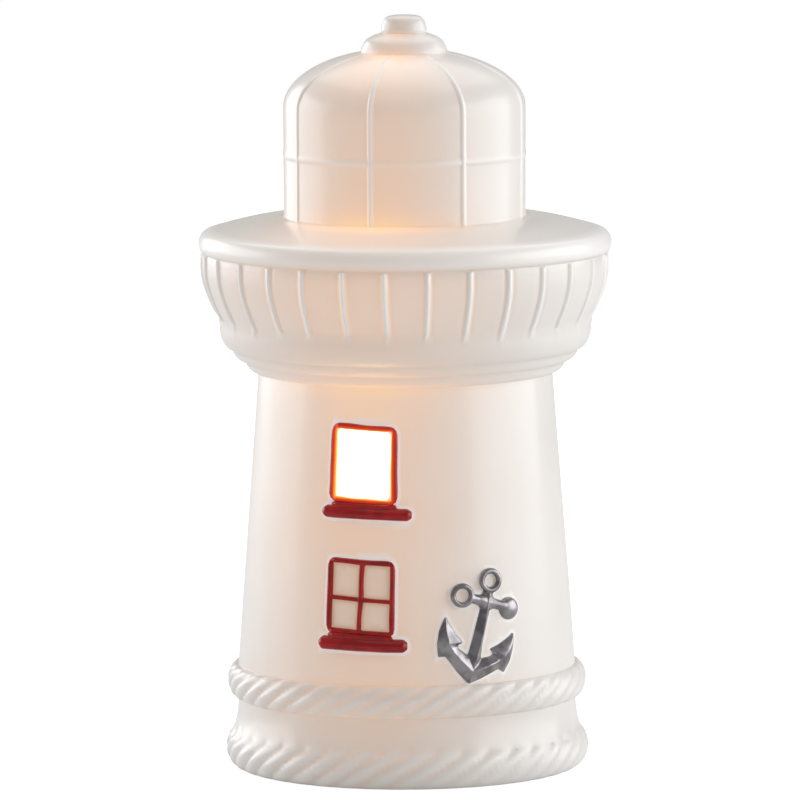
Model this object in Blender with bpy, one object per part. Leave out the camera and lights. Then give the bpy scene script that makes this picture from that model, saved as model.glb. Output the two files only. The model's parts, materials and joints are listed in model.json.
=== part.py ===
"""Porcelain lighthouse lamp: a slip-cast shell standing over a clip-in holder with a candle bulb.

Metres, +Z up. The origin is the centre of the foot ring, on the table, and the windows face -Y.
Angles round the tower are measured from -Y towards +X.
"""
import math

import bmesh
import bpy
from mathutils import Matrix, Vector

# ---------------------------------------------------------------- general clearances
GAP = 0.0003                    # between two pieces that touch in the real lamp
SLIDE = 0.0004                  # round a piece that is pushed or screwed into another

# ---------------------------------------------------------------- porcelain shell
WALL = 0.0040
SHELL_SEGMENTS = 40
FOOT_RADIUS = 0.0600
LOWER_ROPE_HEIGHT = 0.0130
LOWER_ROPE_RADIUS = 0.0649
NECK_HEIGHT = 0.0152
NECK_RADIUS = 0.0607
UPPER_ROPE_HEIGHT = 0.0130
UPPER_ROPE_RADIUS = 0.0631
TOWER_HEIGHT = 0.1012
TOWER_FOOT_RADIUS = 0.0603
TOWER_TOP_RADIUS = 0.0527
RING_HEIGHT = 0.0042            # each of the two rings under the gallery
BAND_RADIUS = 0.0666
BAND_HEIGHT = 0.0112
BOWL_HEIGHT = 0.0189
BOWL_RADIUS = 0.0725            # at the top of the ribs
RIM_RADIUS = 0.0740
RIM_HEIGHT = 0.0123
DECK_RISE = 0.0048
LANTERN_RADIUS = 0.0433
LANTERN_HEIGHT = 0.0395
GLAZING_BAR_LEVEL = 0.0235      # the horizontal bar, above the deck
BAR_RELIEF = 0.0005
BAR_WIDTH = 0.0016
GLAZING_BARS = 8
DOME_HEIGHT = 0.0207            # of the whole half ellipse, which the finial cuts short
FINIAL_RADIUS = 0.0162
FINIAL_HEIGHT = 0.0088
KNOB_RADIUS = 0.0086
KNOB_HEIGHT = 0.0059
RIBS = 30
RIB_PHASE = math.radians(-1.5)
RIB_WIDTH = 0.0013
RIB_RELIEF = 0.0008
RECESS_DEPTH = 0.0160           # under the floor, for the lamp holder's cover
FLOOR_THICKNESS = 0.0040
NOTCH_WIDTH = 0.0090            # the cord's way out, through the foot ring at the back
NOTCH_HEIGHT = 0.0080

# ---------------------------------------------------------------- window and anchor reliefs
WRAP_STRIP = 0.0038             # width of the flat strips that a relief is bent from
WINDOW_TILT = math.radians(-3.5)
OPENING_CORNER = 0.0014
FRAME_CORNER = 0.0024
PANE_CORNER = 0.0009
UPPER_OPENING = (0.0214, 0.0248)
UPPER_WINDOW_LEVEL = 0.0744     # opening's centre above the foot of the tower
LOWER_PANES = (0.0218, 0.0240)
LOWER_WINDOW_LEVEL = 0.0280
FRAME_BAR = 0.0019
MUNTIN_BAR = 0.0017
FRAME_RELIEF = 0.0012
SILL_LENGTH = 0.0335
SILL_HEIGHT = 0.0042
SILL_RELIEF = 0.0026
ANCHOR_ANGLE = math.radians(45.3)
ANCHOR_LEVEL = 0.0248           # stock's centre above the foot of the tower
ANCHOR_TILT = math.radians(-15.8)
ANCHOR_RELIEF = 0.0022
ANCHOR_RING = 0.0043            # outer radius of the rings and the disc
ANCHOR_EYE = 0.0023             # radius of the holes in the rings
ANCHOR_STOCK = 0.0100           # half length, to the centres of its end ring and disc
ANCHOR_STOCK_BAR = 0.0013       # half thickness
ANCHOR_EYE_RISE = 0.0090        # the top ring's centre above the stock
ANCHOR_SHANK = 0.0294           # from the stock down to the crown's point
ANCHOR_SHANK_BAR = 0.0024       # half thickness
ANCHOR_SPREAD = 0.0146          # half width over the flukes
FLUKE_HEIGHT = 0.0154
FLUKE_WIDTH = 0.0090

# ---------------------------------------------------------------- lamp holder
BARREL_RADIUS = 0.0140
BARREL_WALL = 0.0016
BARREL_TOP = 0.0664
BARREL_FLANGE = 0.0040
FLANGE_THICKNESS = 0.0030
COVER_ROOM = 0.0160             # room round the barrel for the terminals, posts and bush
COVER_WALL = 0.0025
COVER_TOP_THICKNESS = 0.0034
PLATE_THICKNESS = 0.0023
POST_RADIUS = 0.0034
SCREW_RADIUS = 0.0010
SCREW_HEAD_RADIUS = 0.0029
SCREW_HEAD_HEIGHT = 0.0013
SCREW_LENGTH = 0.0085
CORD_BORE = 0.0026              # the bush's bore, for a 5 mm round lead
BUSH_RADIUS = 0.0036
BUSH_FLANGE = 0.0008
BUSH_LENGTH = 0.0095
INSERT_FLOOR = 0.0075
INSERT_TOP_DROP = 0.0044        # insert's top below the barrel's
INSERT_DEPTH = 0.0205           # of the socket in it
INSERT_PIN_HOLE = 0.0016        # radius of the hole for the centre contact's pin
SIDE_STRIP = (0.0030, 0.0004)   # the side contact's width and thickness
TONGUE_WIDTH = 0.0040
TERMINAL_BLOCK = (0.0050, 0.0060, 0.0060)
TERMINAL_WIRE_HOLE = 0.0009
SCREW_SHELL_RISE = 0.0045       # the screw shell's foot above the bulb's seat
COVER_ROUND = 0.0020
PLATE_CHAMFER = 0.0008
SLOT_WIDTH = 0.0007
CLIP_WIDTH = 0.0080
CLIP_THICKNESS = 0.0005
CLIP_CATCH = 0.0022             # how far the clip's bend reaches past the floor's hole
CLIP_PIVOT_LEVEL = 0.0440
CLIP_BEND_LEVEL = 0.0056        # the bend above the floor's top
CLIP_TAB = 0.0040
CLIP_BEND_ROUND = 0.0010        # half height of the rounded bend
BAND_CLIP_HEIGHT = 0.0070

# ---------------------------------------------------------------- candle bulb, E14 cap
BULB_RADIUS = 0.0175
BULB_LENGTH = 0.0983
BULB_SEAT = 0.0450              # the centre contact's lowest point
CONTACT_RADIUS = 0.0024
CONTACT_BUTTON = 0.0016         # height of the contact's button
CAP_FOOT_RISE = 0.0062          # the cap's hemmed foot above the seat
THREAD_PITCH = 0.002822
THREAD_MINOR = 0.00615
THREAD_DEPTH = 0.0007
THREAD_SEGMENTS = 16
THREAD_ROWS_PER_TURN = 5
COVER_SEGMENTS = 32             # round the holder's cover and plate
HOLDER_SEGMENTS = 24            # round its barrel, insert and clip band, and round the bulb's glass
SMALL_SEGMENTS = 12             # round screws, pins and other small pieces
CAP_TURNS = 4.5
SHELL_TURNS = 4.0
CAP_WALL = 0.0005
CAP_SKIRT_RADIUS = 0.0084
CAP_SKIRT_HEIGHT = 0.0058
GLASS_WALL = 0.0006
GLASS_FOOT_RISE = 0.0250        # the neck's edge above the seat
NECK_HEIGHT_OF_GLASS = 0.0013
GLASS_BELLY = 0.43              # how far up the envelope it is widest
STEM_RADIUS = 0.0028
STEM_HEIGHT = 0.0190
LEAD_SPREAD = 0.0075            # half the distance between the lead wires' ends
LEAD_RISE = 0.0130              # their ends above the stem
FILAMENT_ARCH = 0.0030
NECK_CLEARANCE = 0.0004
WIRE_RADIUS = 0.0003
BULB_PASS = 0.0035              # room round the bulb in the floor's hole

# ---------------------------------------------------------------- levels and fits worked out from them
NECK_FOOT = LOWER_ROPE_HEIGHT
UPPER_ROPE_FOOT = NECK_FOOT + NECK_HEIGHT
TOWER_FOOT = UPPER_ROPE_FOOT + UPPER_ROPE_HEIGHT
TOWER_TOP = TOWER_FOOT + TOWER_HEIGHT
BAND_FOOT = TOWER_TOP + 2.0 * RING_HEIGHT
BOWL_FOOT = BAND_FOOT + BAND_HEIGHT
RIM_FOOT = BOWL_FOOT + BOWL_HEIGHT
DECK_EDGE = RIM_FOOT + RIM_HEIGHT
LANTERN_FOOT = DECK_EDGE + DECK_RISE
DOME_FOOT = LANTERN_FOOT + LANTERN_HEIGHT
FINIAL_FOOT = DOME_FOOT + DOME_HEIGHT * math.sqrt(1.0 - (FINIAL_RADIUS / LANTERN_RADIUS) ** 2)
KNOB_FOOT = FINIAL_FOOT + FINIAL_HEIGHT * math.sqrt(1.0 - (KNOB_RADIUS / FINIAL_RADIUS) ** 2)
KNOB_TOP = KNOB_FOOT + KNOB_HEIGHT
FLOOR_TOP = RECESS_DEPTH + FLOOR_THICKNESS
HOLE_RADIUS = max(BULB_RADIUS + BULB_PASS, BARREL_RADIUS + 2.0 * BULB_PASS)
COVER_TOP = RECESS_DEPTH - GAP
COVER_FOOT = PLATE_THICKNESS + GAP
DISC_FOOT = COVER_TOP - COVER_TOP_THICKNESS
FLANGE_TOP = DISC_FOOT - GAP
FLANGE_RADIUS = BARREL_RADIUS + BARREL_FLANGE
COVER_RADIUS = BARREL_RADIUS + COVER_ROOM
POST_OFFSET = FLANGE_RADIUS + SLIDE + POST_RADIUS
BUSH_LEVEL = 0.5 * (COVER_FOOT + DISC_FOOT)
BARREL_BORE = BARREL_RADIUS - BARREL_WALL
INSERT_RADIUS = BARREL_BORE - GAP
INSERT_TOP = BARREL_TOP - INSERT_TOP_DROP
SOCKET_FLOOR = INSERT_TOP - INSERT_DEPTH
INSERT_FOOT = SOCKET_FLOOR - INSERT_FLOOR
THREAD_MAJOR = THREAD_MINOR + THREAD_DEPTH
SCREW_SHELL_BORE = THREAD_MAJOR + SLIDE
SCREW_SHELL_OUTSIDE = SCREW_SHELL_BORE + CAP_WALL
SIDE_CONTACT_INNER = SCREW_SHELL_OUTSIDE + SLIDE
SOCKET_RADIUS = math.hypot(SIDE_CONTACT_INNER + SIDE_STRIP[1], 0.5 * SIDE_STRIP[0]) + SLIDE
CLIP_PIVOT_RADIUS = BARREL_RADIUS + 1.5 * CLIP_THICKNESS + GAP + SLIDE


# ================================================================ modelling helpers
def material(name, colour, roughness, metallic=0.0, transmission=0.0):
    """A plain Principled material."""
    mat = bpy.data.materials.new(name)
    mat.use_nodes = True
    shader = mat.node_tree.nodes["Principled BSDF"]
    shader.inputs["Base Color"].default_value = (*colour, 1.0)
    shader.inputs["Roughness"].default_value = roughness
    shader.inputs["Metallic"].default_value = metallic
    shader.inputs["Transmission Weight"].default_value = transmission
    mat.diffuse_color = (*colour, 1.0)
    mat.roughness = roughness
    mat.metallic = metallic
    return mat


def empty(name, location, parent=None):
    """A joint's place; its children's origins lie on the joint's axis."""
    obj = bpy.data.objects.new(name, None)
    obj.empty_display_size = 0.01
    obj.location = Vector(location) - (parent.location if parent else Vector())
    obj.parent = parent
    bpy.context.scene.collection.objects.link(obj)
    return obj


def add_object(name, bm, mat=None, parent=None, sharp=35.0):
    """An object whose origin lies on its parent's, from a bmesh in the lamp's own frame."""
    place = Vector()
    holder = parent
    while holder:
        place += holder.location
        holder = holder.parent
    bmesh.ops.translate(bm, vec=-place, verts=bm.verts)
    bmesh.ops.recalc_face_normals(bm, faces=bm.faces)
    mesh = bpy.data.meshes.new(name)
    bm.to_mesh(mesh)
    bm.free()
    mesh.shade_smooth()
    mesh.set_sharp_from_angle(angle=math.radians(sharp))
    obj = bpy.data.objects.new(name, mesh)
    obj.parent = parent
    if mat:
        mesh.materials.append(mat)
    bpy.context.scene.collection.objects.link(obj)
    return obj


def cutter(name, bm, target, operation):
    """A guide shape cut from, or joined to, the target by a Boolean modifier."""
    obj = add_object(name, bm, parent=target.parent)
    obj.hide_render = True
    obj.display_type = "WIRE"
    boolean = target.modifiers.new(name, "BOOLEAN")
    boolean.operation = operation
    boolean.object = obj
    return obj


def lathe(outline, segments, closed=True):
    """A turned solid from (radius, height) points; an open outline runs from axis to axis."""
    bm = bmesh.new()
    verts = [bm.verts.new((0.0, -radius, height)) for radius, height in outline]
    pairs = list(zip(verts, verts[1:]))
    if closed:
        pairs.append((verts[-1], verts[0]))
    edges = [bm.edges.new(pair) for pair in pairs]
    bmesh.ops.spin(bm, geom=verts + edges, cent=(0, 0, 0), axis=(0, 0, 1),
                   angle=math.tau, steps=segments, use_merge=True)
    bmesh.ops.remove_doubles(bm, verts=bm.verts, dist=1e-6)
    return bm


def arc(centre, radii, start, end, steps):
    """Points of an elliptical arc in the (radius, height) plane, angles in degrees."""
    points = []
    for index in range(steps + 1):
        angle = math.radians(start + (end - start) * index / steps)
        points.append((centre[0] + radii[0] * math.cos(angle), centre[1] + radii[1] * math.sin(angle)))
    return points


def box(size, centre):
    """A rectangular block."""
    bm = bmesh.new()
    bmesh.ops.create_cube(bm, size=1.0, matrix=Matrix.Translation(centre) @ Matrix.Diagonal((*size, 1.0)))
    return bm


def join(*parts):
    """One bmesh holding several that stay apart."""
    whole = bmesh.new()
    for part in parts:
        mesh = bpy.data.meshes.new("joining")
        part.to_mesh(mesh)
        part.free()
        whole.from_mesh(mesh)
        bpy.data.meshes.remove(mesh)
    return whole


def rod(radius, low, high, centre=(0.0, 0.0)):
    """A straight round pin along Z."""
    bm = lathe([(0.0, low), (radius, low), (radius, high), (0.0, high)], SMALL_SEGMENTS, closed=False)
    bmesh.ops.translate(bm, vec=(centre[0], centre[1], 0.0), verts=bm.verts)
    return bm


def plate(outlines, thickness):
    """A flat plate in the XZ plane, its back at y = 0 and its face at -thickness.

    The first outline is the edge and the others are holes, each a loop of (x, z) points.
    """
    bm = bmesh.new()
    edges = []
    for outline in outlines:
        verts = [bm.verts.new((x, 0.0, z)) for x, z in outline]
        edges += [bm.edges.new(pair) for pair in zip(verts, verts[1:] + verts[:1])]
    bmesh.ops.triangle_fill(bm, edges=edges, use_beauty=True)
    grown = bmesh.ops.extrude_face_region(bm, geom=bm.faces[:], use_keep_orig=True)
    moved = [item for item in grown["geom"] if isinstance(item, bmesh.types.BMVert)]
    bmesh.ops.translate(bm, vec=(0.0, -thickness, 0.0), verts=moved)
    return bm


def rounded_rectangle(width, height, corner, centre=(0.0, 0.0), steps=2):
    """A loop of (x, z) points."""
    points = []
    for turn, (side, rise) in enumerate(((1, 1), (-1, 1), (-1, -1), (1, -1))):
        middle = (centre[0] + side * (0.5 * width - corner), centre[1] + rise * (0.5 * height - corner))
        points += arc(middle, (corner, corner), 90.0 * turn, 90.0 * (turn + 1), steps)
    return points


def tower_radius(height):
    """Outside radius of the tapered tower."""
    share = (height - TOWER_FOOT) / TOWER_HEIGHT
    return TOWER_FOOT_RADIUS + (TOWER_TOP_RADIUS - TOWER_FOOT_RADIUS) * share


def surface_radius(height):
    """Outside radius of the casting at a height, along the straight runs between its outline's points."""
    outline = outside_outline()
    for (radius, low), (next_radius, high) in zip(outline, outline[1:]):
        if low <= height <= high and high > low:
            return radius + (next_radius - radius) * (height - low) / (high - low)
    return FOOT_RADIUS


def cut_across(bm, place, normal):
    """Adds edges where a plane crosses the mesh."""
    bmesh.ops.bisect_plane(bm, geom=bm.verts[:] + bm.edges[:] + bm.faces[:], dist=1e-6,
                           plane_co=place, plane_no=normal)


def wrap_on_tower(bm, angle, level, tilt):
    """Lays a flat relief on the tower: it is tilted, cut into upright strips and bent round."""
    bmesh.ops.rotate(bm, cent=(0, 0, 0), matrix=Matrix.Rotation(-tilt, 3, "Y"), verts=bm.verts)
    reach = max(abs(vert.co.x) for vert in bm.verts)
    cuts = int(reach / WRAP_STRIP)
    for index in range(-cuts, cuts + 1):
        cut_across(bm, (index * WRAP_STRIP, 0, 0), (1, 0, 0))
    low, high = min(vert.co.z for vert in bm.verts), max(vert.co.z for vert in bm.verts)
    for radius, height in outside_outline():
        if low < height - level < high:
            cut_across(bm, (0, 0, height - level), (0, 0, 1))
    bmesh.ops.triangulate(bm, faces=bm.faces)
    around = tower_radius(level)
    for vert in bm.verts:
        height = level + vert.co.z
        radius = surface_radius(height) + GAP - vert.co.y
        turn = angle + vert.co.x / around
        vert.co = (radius * math.sin(turn), -radius * math.cos(turn), height)


# ================================================================ porcelain shell
def bowl_outline(low, high, steps):
    """The ribbed bowl flares upwards, steeply at first."""
    points = []
    for index in range(steps + 1):
        height = low + (high - low) * index / steps
        share = (height - BOWL_FOOT) / BOWL_HEIGHT
        points.append((BAND_RADIUS + (BOWL_RADIUS - BAND_RADIUS) * math.sin(0.5 * math.pi * share), height))
    return points


def deck_outline(steps):
    """The gallery's floor slopes up from the rim and flattens towards the lantern."""
    edge = RIM_RADIUS - 0.25 * RIM_HEIGHT
    points = []
    for index in range(1, steps + 1):
        share = index / steps
        radius = edge + (LANTERN_RADIUS - edge) * share
        points.append((radius, DECK_EDGE + DECK_RISE * math.sin(0.5 * math.pi * share)))
    return points


def gallery_outline():
    """Outside of the rings, band, bowl, rim and deck, from the tower's top to the lantern."""
    step = (BAND_RADIUS - TOWER_TOP_RADIUS) / 3.0
    points = [(TOWER_TOP_RADIUS, TOWER_TOP)]
    for ring in range(2):
        middle = (TOWER_TOP_RADIUS + ring * step, TOWER_TOP + (ring + 1) * RING_HEIGHT)
        points += arc(middle, (step, RING_HEIGHT), -90.0, 0.0, 2)[1:]
    points += arc((BAND_RADIUS - step, BOWL_FOOT - 0.3 * BAND_HEIGHT), (step, 0.7 * BAND_HEIGHT), -75.0, 0.0, 2)
    points += bowl_outline(BOWL_FOOT, RIM_FOOT, 3)
    points += arc((RIM_RADIUS - 0.3 * RIM_HEIGHT, DECK_EDGE - 0.35 * RIM_HEIGHT),
                  (0.3 * RIM_HEIGHT, 0.35 * RIM_HEIGHT), -30.0, 80.0, 3)
    return points + deck_outline(3)


def dome_outline(radius, height, low, high, steps):
    """The lantern's roof is half an ellipse; angles in degrees above its foot."""
    return arc((0.0, DOME_FOOT), (radius, height), low, high, steps)


def degrees_up(radius, whole):
    """How far up an ellipse, in degrees, its radius has shrunk from whole to this one."""
    return math.degrees(math.acos(radius / whole))


def outside_outline():
    """Outside of the casting, from its foot up to the knob's centre."""
    rope = 0.5 * LOWER_ROPE_HEIGHT
    points = arc((FOOT_RADIUS, rope), (LOWER_ROPE_RADIUS - FOOT_RADIUS, rope), -90.0, 55.0, 4)
    points += [(NECK_RADIUS + 0.15 * WALL, NECK_FOOT + 0.3 * NECK_HEIGHT),
               (NECK_RADIUS, NECK_FOOT + 0.75 * NECK_HEIGHT)]
    rope = 0.5 * UPPER_ROPE_HEIGHT
    reach = UPPER_ROPE_RADIUS - NECK_RADIUS
    points += arc((NECK_RADIUS, UPPER_ROPE_FOOT + rope), (reach, rope), -90.0, 75.0, 4)
    points += [(TOWER_FOOT_RADIUS, TOWER_FOOT)]
    points += gallery_outline()
    bar = LANTERN_FOOT + GLAZING_BAR_LEVEL
    proud = LANTERN_RADIUS + BAR_RELIEF
    points += [(LANTERN_RADIUS, bar - 0.5 * BAR_WIDTH), (proud, bar - 0.2 * BAR_WIDTH),
               (proud, bar + 0.2 * BAR_WIDTH), (LANTERN_RADIUS, bar + 0.5 * BAR_WIDTH)]
    points += dome_outline(LANTERN_RADIUS, DOME_HEIGHT, 0.0, degrees_up(FINIAL_RADIUS, LANTERN_RADIUS), 4)
    neck = degrees_up(KNOB_RADIUS, FINIAL_RADIUS)
    points += arc((0.0, FINIAL_FOOT), (FINIAL_RADIUS, FINIAL_HEIGHT), 0.0, neck, 3)[1:]
    middle = (0.55 * KNOB_RADIUS, KNOB_FOOT + 0.25 * KNOB_HEIGHT)
    points += arc(middle, (KNOB_RADIUS - middle[0], KNOB_TOP - middle[1]), 0.0, 90.0, 2)
    return points + [(0.0, KNOB_TOP)]


def inside_outline():
    """Inside of the casting, a wall's thickness in, from the dome's centre down to the foot ring."""
    points = list(reversed(dome_outline(LANTERN_RADIUS - WALL, DOME_HEIGHT - WALL, 0.0, 90.0, 3)))
    points[0] = (0.0, points[0][1])
    points += [(LANTERN_RADIUS - WALL, LANTERN_FOOT - WALL)]
    points += [(RIM_RADIUS - 0.6 * RIM_HEIGHT, DECK_EDGE - WALL),
               (RIM_RADIUS - WALL, DECK_EDGE - 0.6 * RIM_HEIGHT)]
    points += [(radius - WALL, height) for radius, height in reversed(bowl_outline(BOWL_FOOT, RIM_FOOT, 2))]
    recess = NECK_RADIUS - WALL
    fillet = 0.4 * WALL
    points += [(BAND_RADIUS - 1.3 * WALL, BAND_FOOT + WALL), (TOWER_TOP_RADIUS - WALL, TOWER_TOP + WALL),
               (TOWER_FOOT_RADIUS - WALL, TOWER_FOOT), (recess, FLOOR_TOP + fillet)]
    points += [(recess - fillet, FLOOR_TOP), (HOLE_RADIUS, FLOOR_TOP), (HOLE_RADIUS, RECESS_DEPTH),
               (recess - fillet, RECESS_DEPTH), (recess, RECESS_DEPTH - fillet)]
    points += [(FOOT_RADIUS - 2.0 * WALL, 0.0)]
    return points


def rib_slab(outline, relief, width, angle):
    """A thin upright slab that follows an outline: proud of it, and sunk at both ends."""
    last = len(outline) - 1
    outer = [(radius + (relief if 0 < index < last else -0.25 * WALL), height)
             for index, (radius, height) in enumerate(outline)]
    inner = [(radius - 0.6 * WALL, height) for radius, height in reversed(outline)]
    bm = plate([outer + inner], width)
    bmesh.ops.translate(bm, vec=(0.0, 0.5 * width, 0.0), verts=bm.verts)
    bmesh.ops.rotate(bm, cent=(0, 0, 0), matrix=Matrix.Rotation(angle - 0.5 * math.pi, 3, "Z"), verts=bm.verts)
    return bm


def window_cutter():
    """The upper window's opening, a tilted prism through the tower's front wall."""
    bm = plate([rounded_rectangle(*UPPER_OPENING, corner=OPENING_CORNER)], 6.0 * WALL)
    bmesh.ops.rotate(bm, cent=(0, 0, 0), matrix=Matrix.Rotation(-WINDOW_TILT, 3, "Y"), verts=bm.verts)
    level = TOWER_FOOT + UPPER_WINDOW_LEVEL
    bmesh.ops.translate(bm, vec=(0.0, 4.0 * WALL - tower_radius(level), level), verts=bm.verts)
    return bm


def notch_cutter():
    """The cord's way out, a round-topped slot through the foot ring at the back."""
    half = 0.5 * NOTCH_WIDTH
    outline = [(-half, -WALL), (half, -WALL)] + arc((0.0, NOTCH_HEIGHT - half), (half, half), 0.0, 180.0, 6)
    bm = plate([outline], 6.0 * WALL)
    bmesh.ops.translate(bm, vec=(0.0, FOOT_RADIUS + 3.0 * WALL, 0.0), verts=bm.verts)
    return bm


def make_shell(parent, porcelain):
    """The casting, with its ribs and glazing bars, its window opening and cord notch."""
    outline = inside_outline() + outside_outline()
    shell = add_object("lighthouse_shell", lathe(outline, SHELL_SEGMENTS, closed=False), porcelain, parent)
    lip = (RIM_RADIUS - 0.25 * WALL, RIM_FOOT + 0.5 * WALL)
    rib = [(BAND_RADIUS, BOWL_FOOT - 0.5 * WALL)] + bowl_outline(BOWL_FOOT, RIM_FOOT, 3) + [lip]
    turns = [RIB_PHASE + math.tau * index / RIBS for index in range(RIBS)]
    ribs = [rib_slab(rib, RIB_RELIEF, RIB_WIDTH, turn) for turn in turns]
    cutter("gallery_ribs", join(*ribs), shell, "UNION")
    top = degrees_up(FINIAL_RADIUS + BAR_WIDTH, LANTERN_RADIUS)
    bar = [(LANTERN_RADIUS, LANTERN_FOOT - BAR_RELIEF), (LANTERN_RADIUS, LANTERN_FOOT + BAR_RELIEF)]
    bar += dome_outline(LANTERN_RADIUS, DOME_HEIGHT, 3.0, top, 4)
    turns = [math.tau * index / GLAZING_BARS for index in range(GLAZING_BARS)]
    bars = [rib_slab(bar, BAR_RELIEF, BAR_WIDTH, turn) for turn in turns]
    cutter("glazing_bars", join(*bars), shell, "UNION")
    cutter("window_opening", window_cutter(), shell, "DIFFERENCE")
    cutter("cord_notch", notch_cutter(), shell, "DIFFERENCE")


# ================================================================ window and anchor reliefs
def sill_offset(height):
    """How far a sill's middle lies below the middle of a window this high."""
    return 0.5 * height + FRAME_BAR + GAP + 0.5 * SILL_HEIGHT


def make_sill(name, level, height, red, parent):
    """A bulging strip under a window frame."""
    drop = -sill_offset(height)
    outline = rounded_rectangle(SILL_LENGTH, SILL_HEIGHT, 0.45 * SILL_HEIGHT, (0.0, drop), 3)
    bm = plate([outline], SILL_RELIEF)
    wrap_on_tower(bm, 0.0, TOWER_FOOT + level, WINDOW_TILT)
    add_object(name, bm, red, parent)


def make_windows(red, parent):
    """The upper frame stands round its opening; the lower one has four blind panes."""
    width, height = UPPER_OPENING
    edge = rounded_rectangle(width + 2.0 * FRAME_BAR, height + 2.0 * FRAME_BAR, FRAME_CORNER)
    bm = plate([edge, rounded_rectangle(width, height, OPENING_CORNER)], FRAME_RELIEF)
    wrap_on_tower(bm, 0.0, TOWER_FOOT + UPPER_WINDOW_LEVEL, WINDOW_TILT)
    add_object("upper_window_frame", bm, red, parent)
    make_sill("upper_window_sill", UPPER_WINDOW_LEVEL, height, red, parent)

    width, height = LOWER_PANES
    edge = rounded_rectangle(width + 2.0 * FRAME_BAR, height + 2.0 * FRAME_BAR, FRAME_CORNER)
    pane = (0.5 * (width - MUNTIN_BAR), 0.5 * (height - MUNTIN_BAR))
    panes = []
    for side in (-1, 1):
        for rise in (-1, 1):
            middle = (0.5 * side * (pane[0] + MUNTIN_BAR), 0.5 * rise * (pane[1] + MUNTIN_BAR))
            panes.append(rounded_rectangle(*pane, corner=PANE_CORNER, centre=middle))
    bm = plate([edge] + panes, FRAME_RELIEF)
    wrap_on_tower(bm, 0.0, TOWER_FOOT + LOWER_WINDOW_LEVEL, WINDOW_TILT)
    add_object("lower_window_frame", bm, red, parent)
    make_sill("lower_window_sill", LOWER_WINDOW_LEVEL, height, red, parent)


def anchor_half():
    """Right half of the anchor's edge, from the crown's point up to the top of its eye."""
    crown = -ANCHOR_SHANK
    barb = crown + 0.38 * FLUKE_HEIGHT
    tip = barb + FLUKE_HEIGHT
    inner = ANCHOR_SPREAD - FLUKE_WIDTH
    half = [(0.0, crown), (0.45 * ANCHOR_SPREAD, crown + 0.26 * FLUKE_HEIGHT),
            (0.72 * ANCHOR_SPREAD, barb + 0.10 * FLUKE_HEIGHT), (0.88 * ANCHOR_SPREAD, barb),
            (ANCHOR_SPREAD, barb + 0.40 * FLUKE_HEIGHT), (ANCHOR_SPREAD, tip - 0.25 * FLUKE_HEIGHT),
            (0.97 * ANCHOR_SPREAD, tip), (0.80 * ANCHOR_SPREAD, tip - 0.25 * FLUKE_HEIGHT),
            (inner, tip - 0.50 * FLUKE_HEIGHT), (inner + 0.16 * FLUKE_WIDTH, tip - 0.64 * FLUKE_HEIGHT),
            (0.5 * inner + 0.5 * ANCHOR_SHANK_BAR, tip - 0.82 * FLUKE_HEIGHT),
            (ANCHOR_SHANK_BAR, tip - 0.74 * FLUKE_HEIGHT), (0.9 * ANCHOR_SHANK_BAR, -ANCHOR_STOCK_BAR)]
    open_angle = math.degrees(math.asin(ANCHOR_STOCK_BAR / ANCHOR_RING))
    half += arc((ANCHOR_STOCK, 0.0), (ANCHOR_RING, ANCHOR_RING), open_angle - 180.0, 180.0 - open_angle, 12)
    neck = 0.7 * ANCHOR_SHANK_BAR
    half += [(neck, ANCHOR_STOCK_BAR)]
    open_angle = math.degrees(math.asin(neck / ANCHOR_RING))
    return half + arc((0.0, ANCHOR_EYE_RISE), (ANCHOR_RING, ANCHOR_RING), open_angle - 90.0, 90.0, 8)


def make_anchor(lustre, parent):
    """Stock, shank, arms and flukes in one relief; one end of the stock is a ring, the other a disc."""
    half = anchor_half()
    edge = half + [(-x, z) for x, z in reversed(half[1:-1])]
    eyes = [arc(centre, (ANCHOR_EYE, ANCHOR_EYE), 0.0, 360.0, 12)[:-1]
            for centre in ((0.0, ANCHOR_EYE_RISE), (-ANCHOR_STOCK, 0.0))]
    bm = plate([edge] + eyes, ANCHOR_RELIEF)
    wrap_on_tower(bm, ANCHOR_ANGLE, TOWER_FOOT + ANCHOR_LEVEL, ANCHOR_TILT)
    add_object("anchor", bm, lustre, parent)


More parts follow.
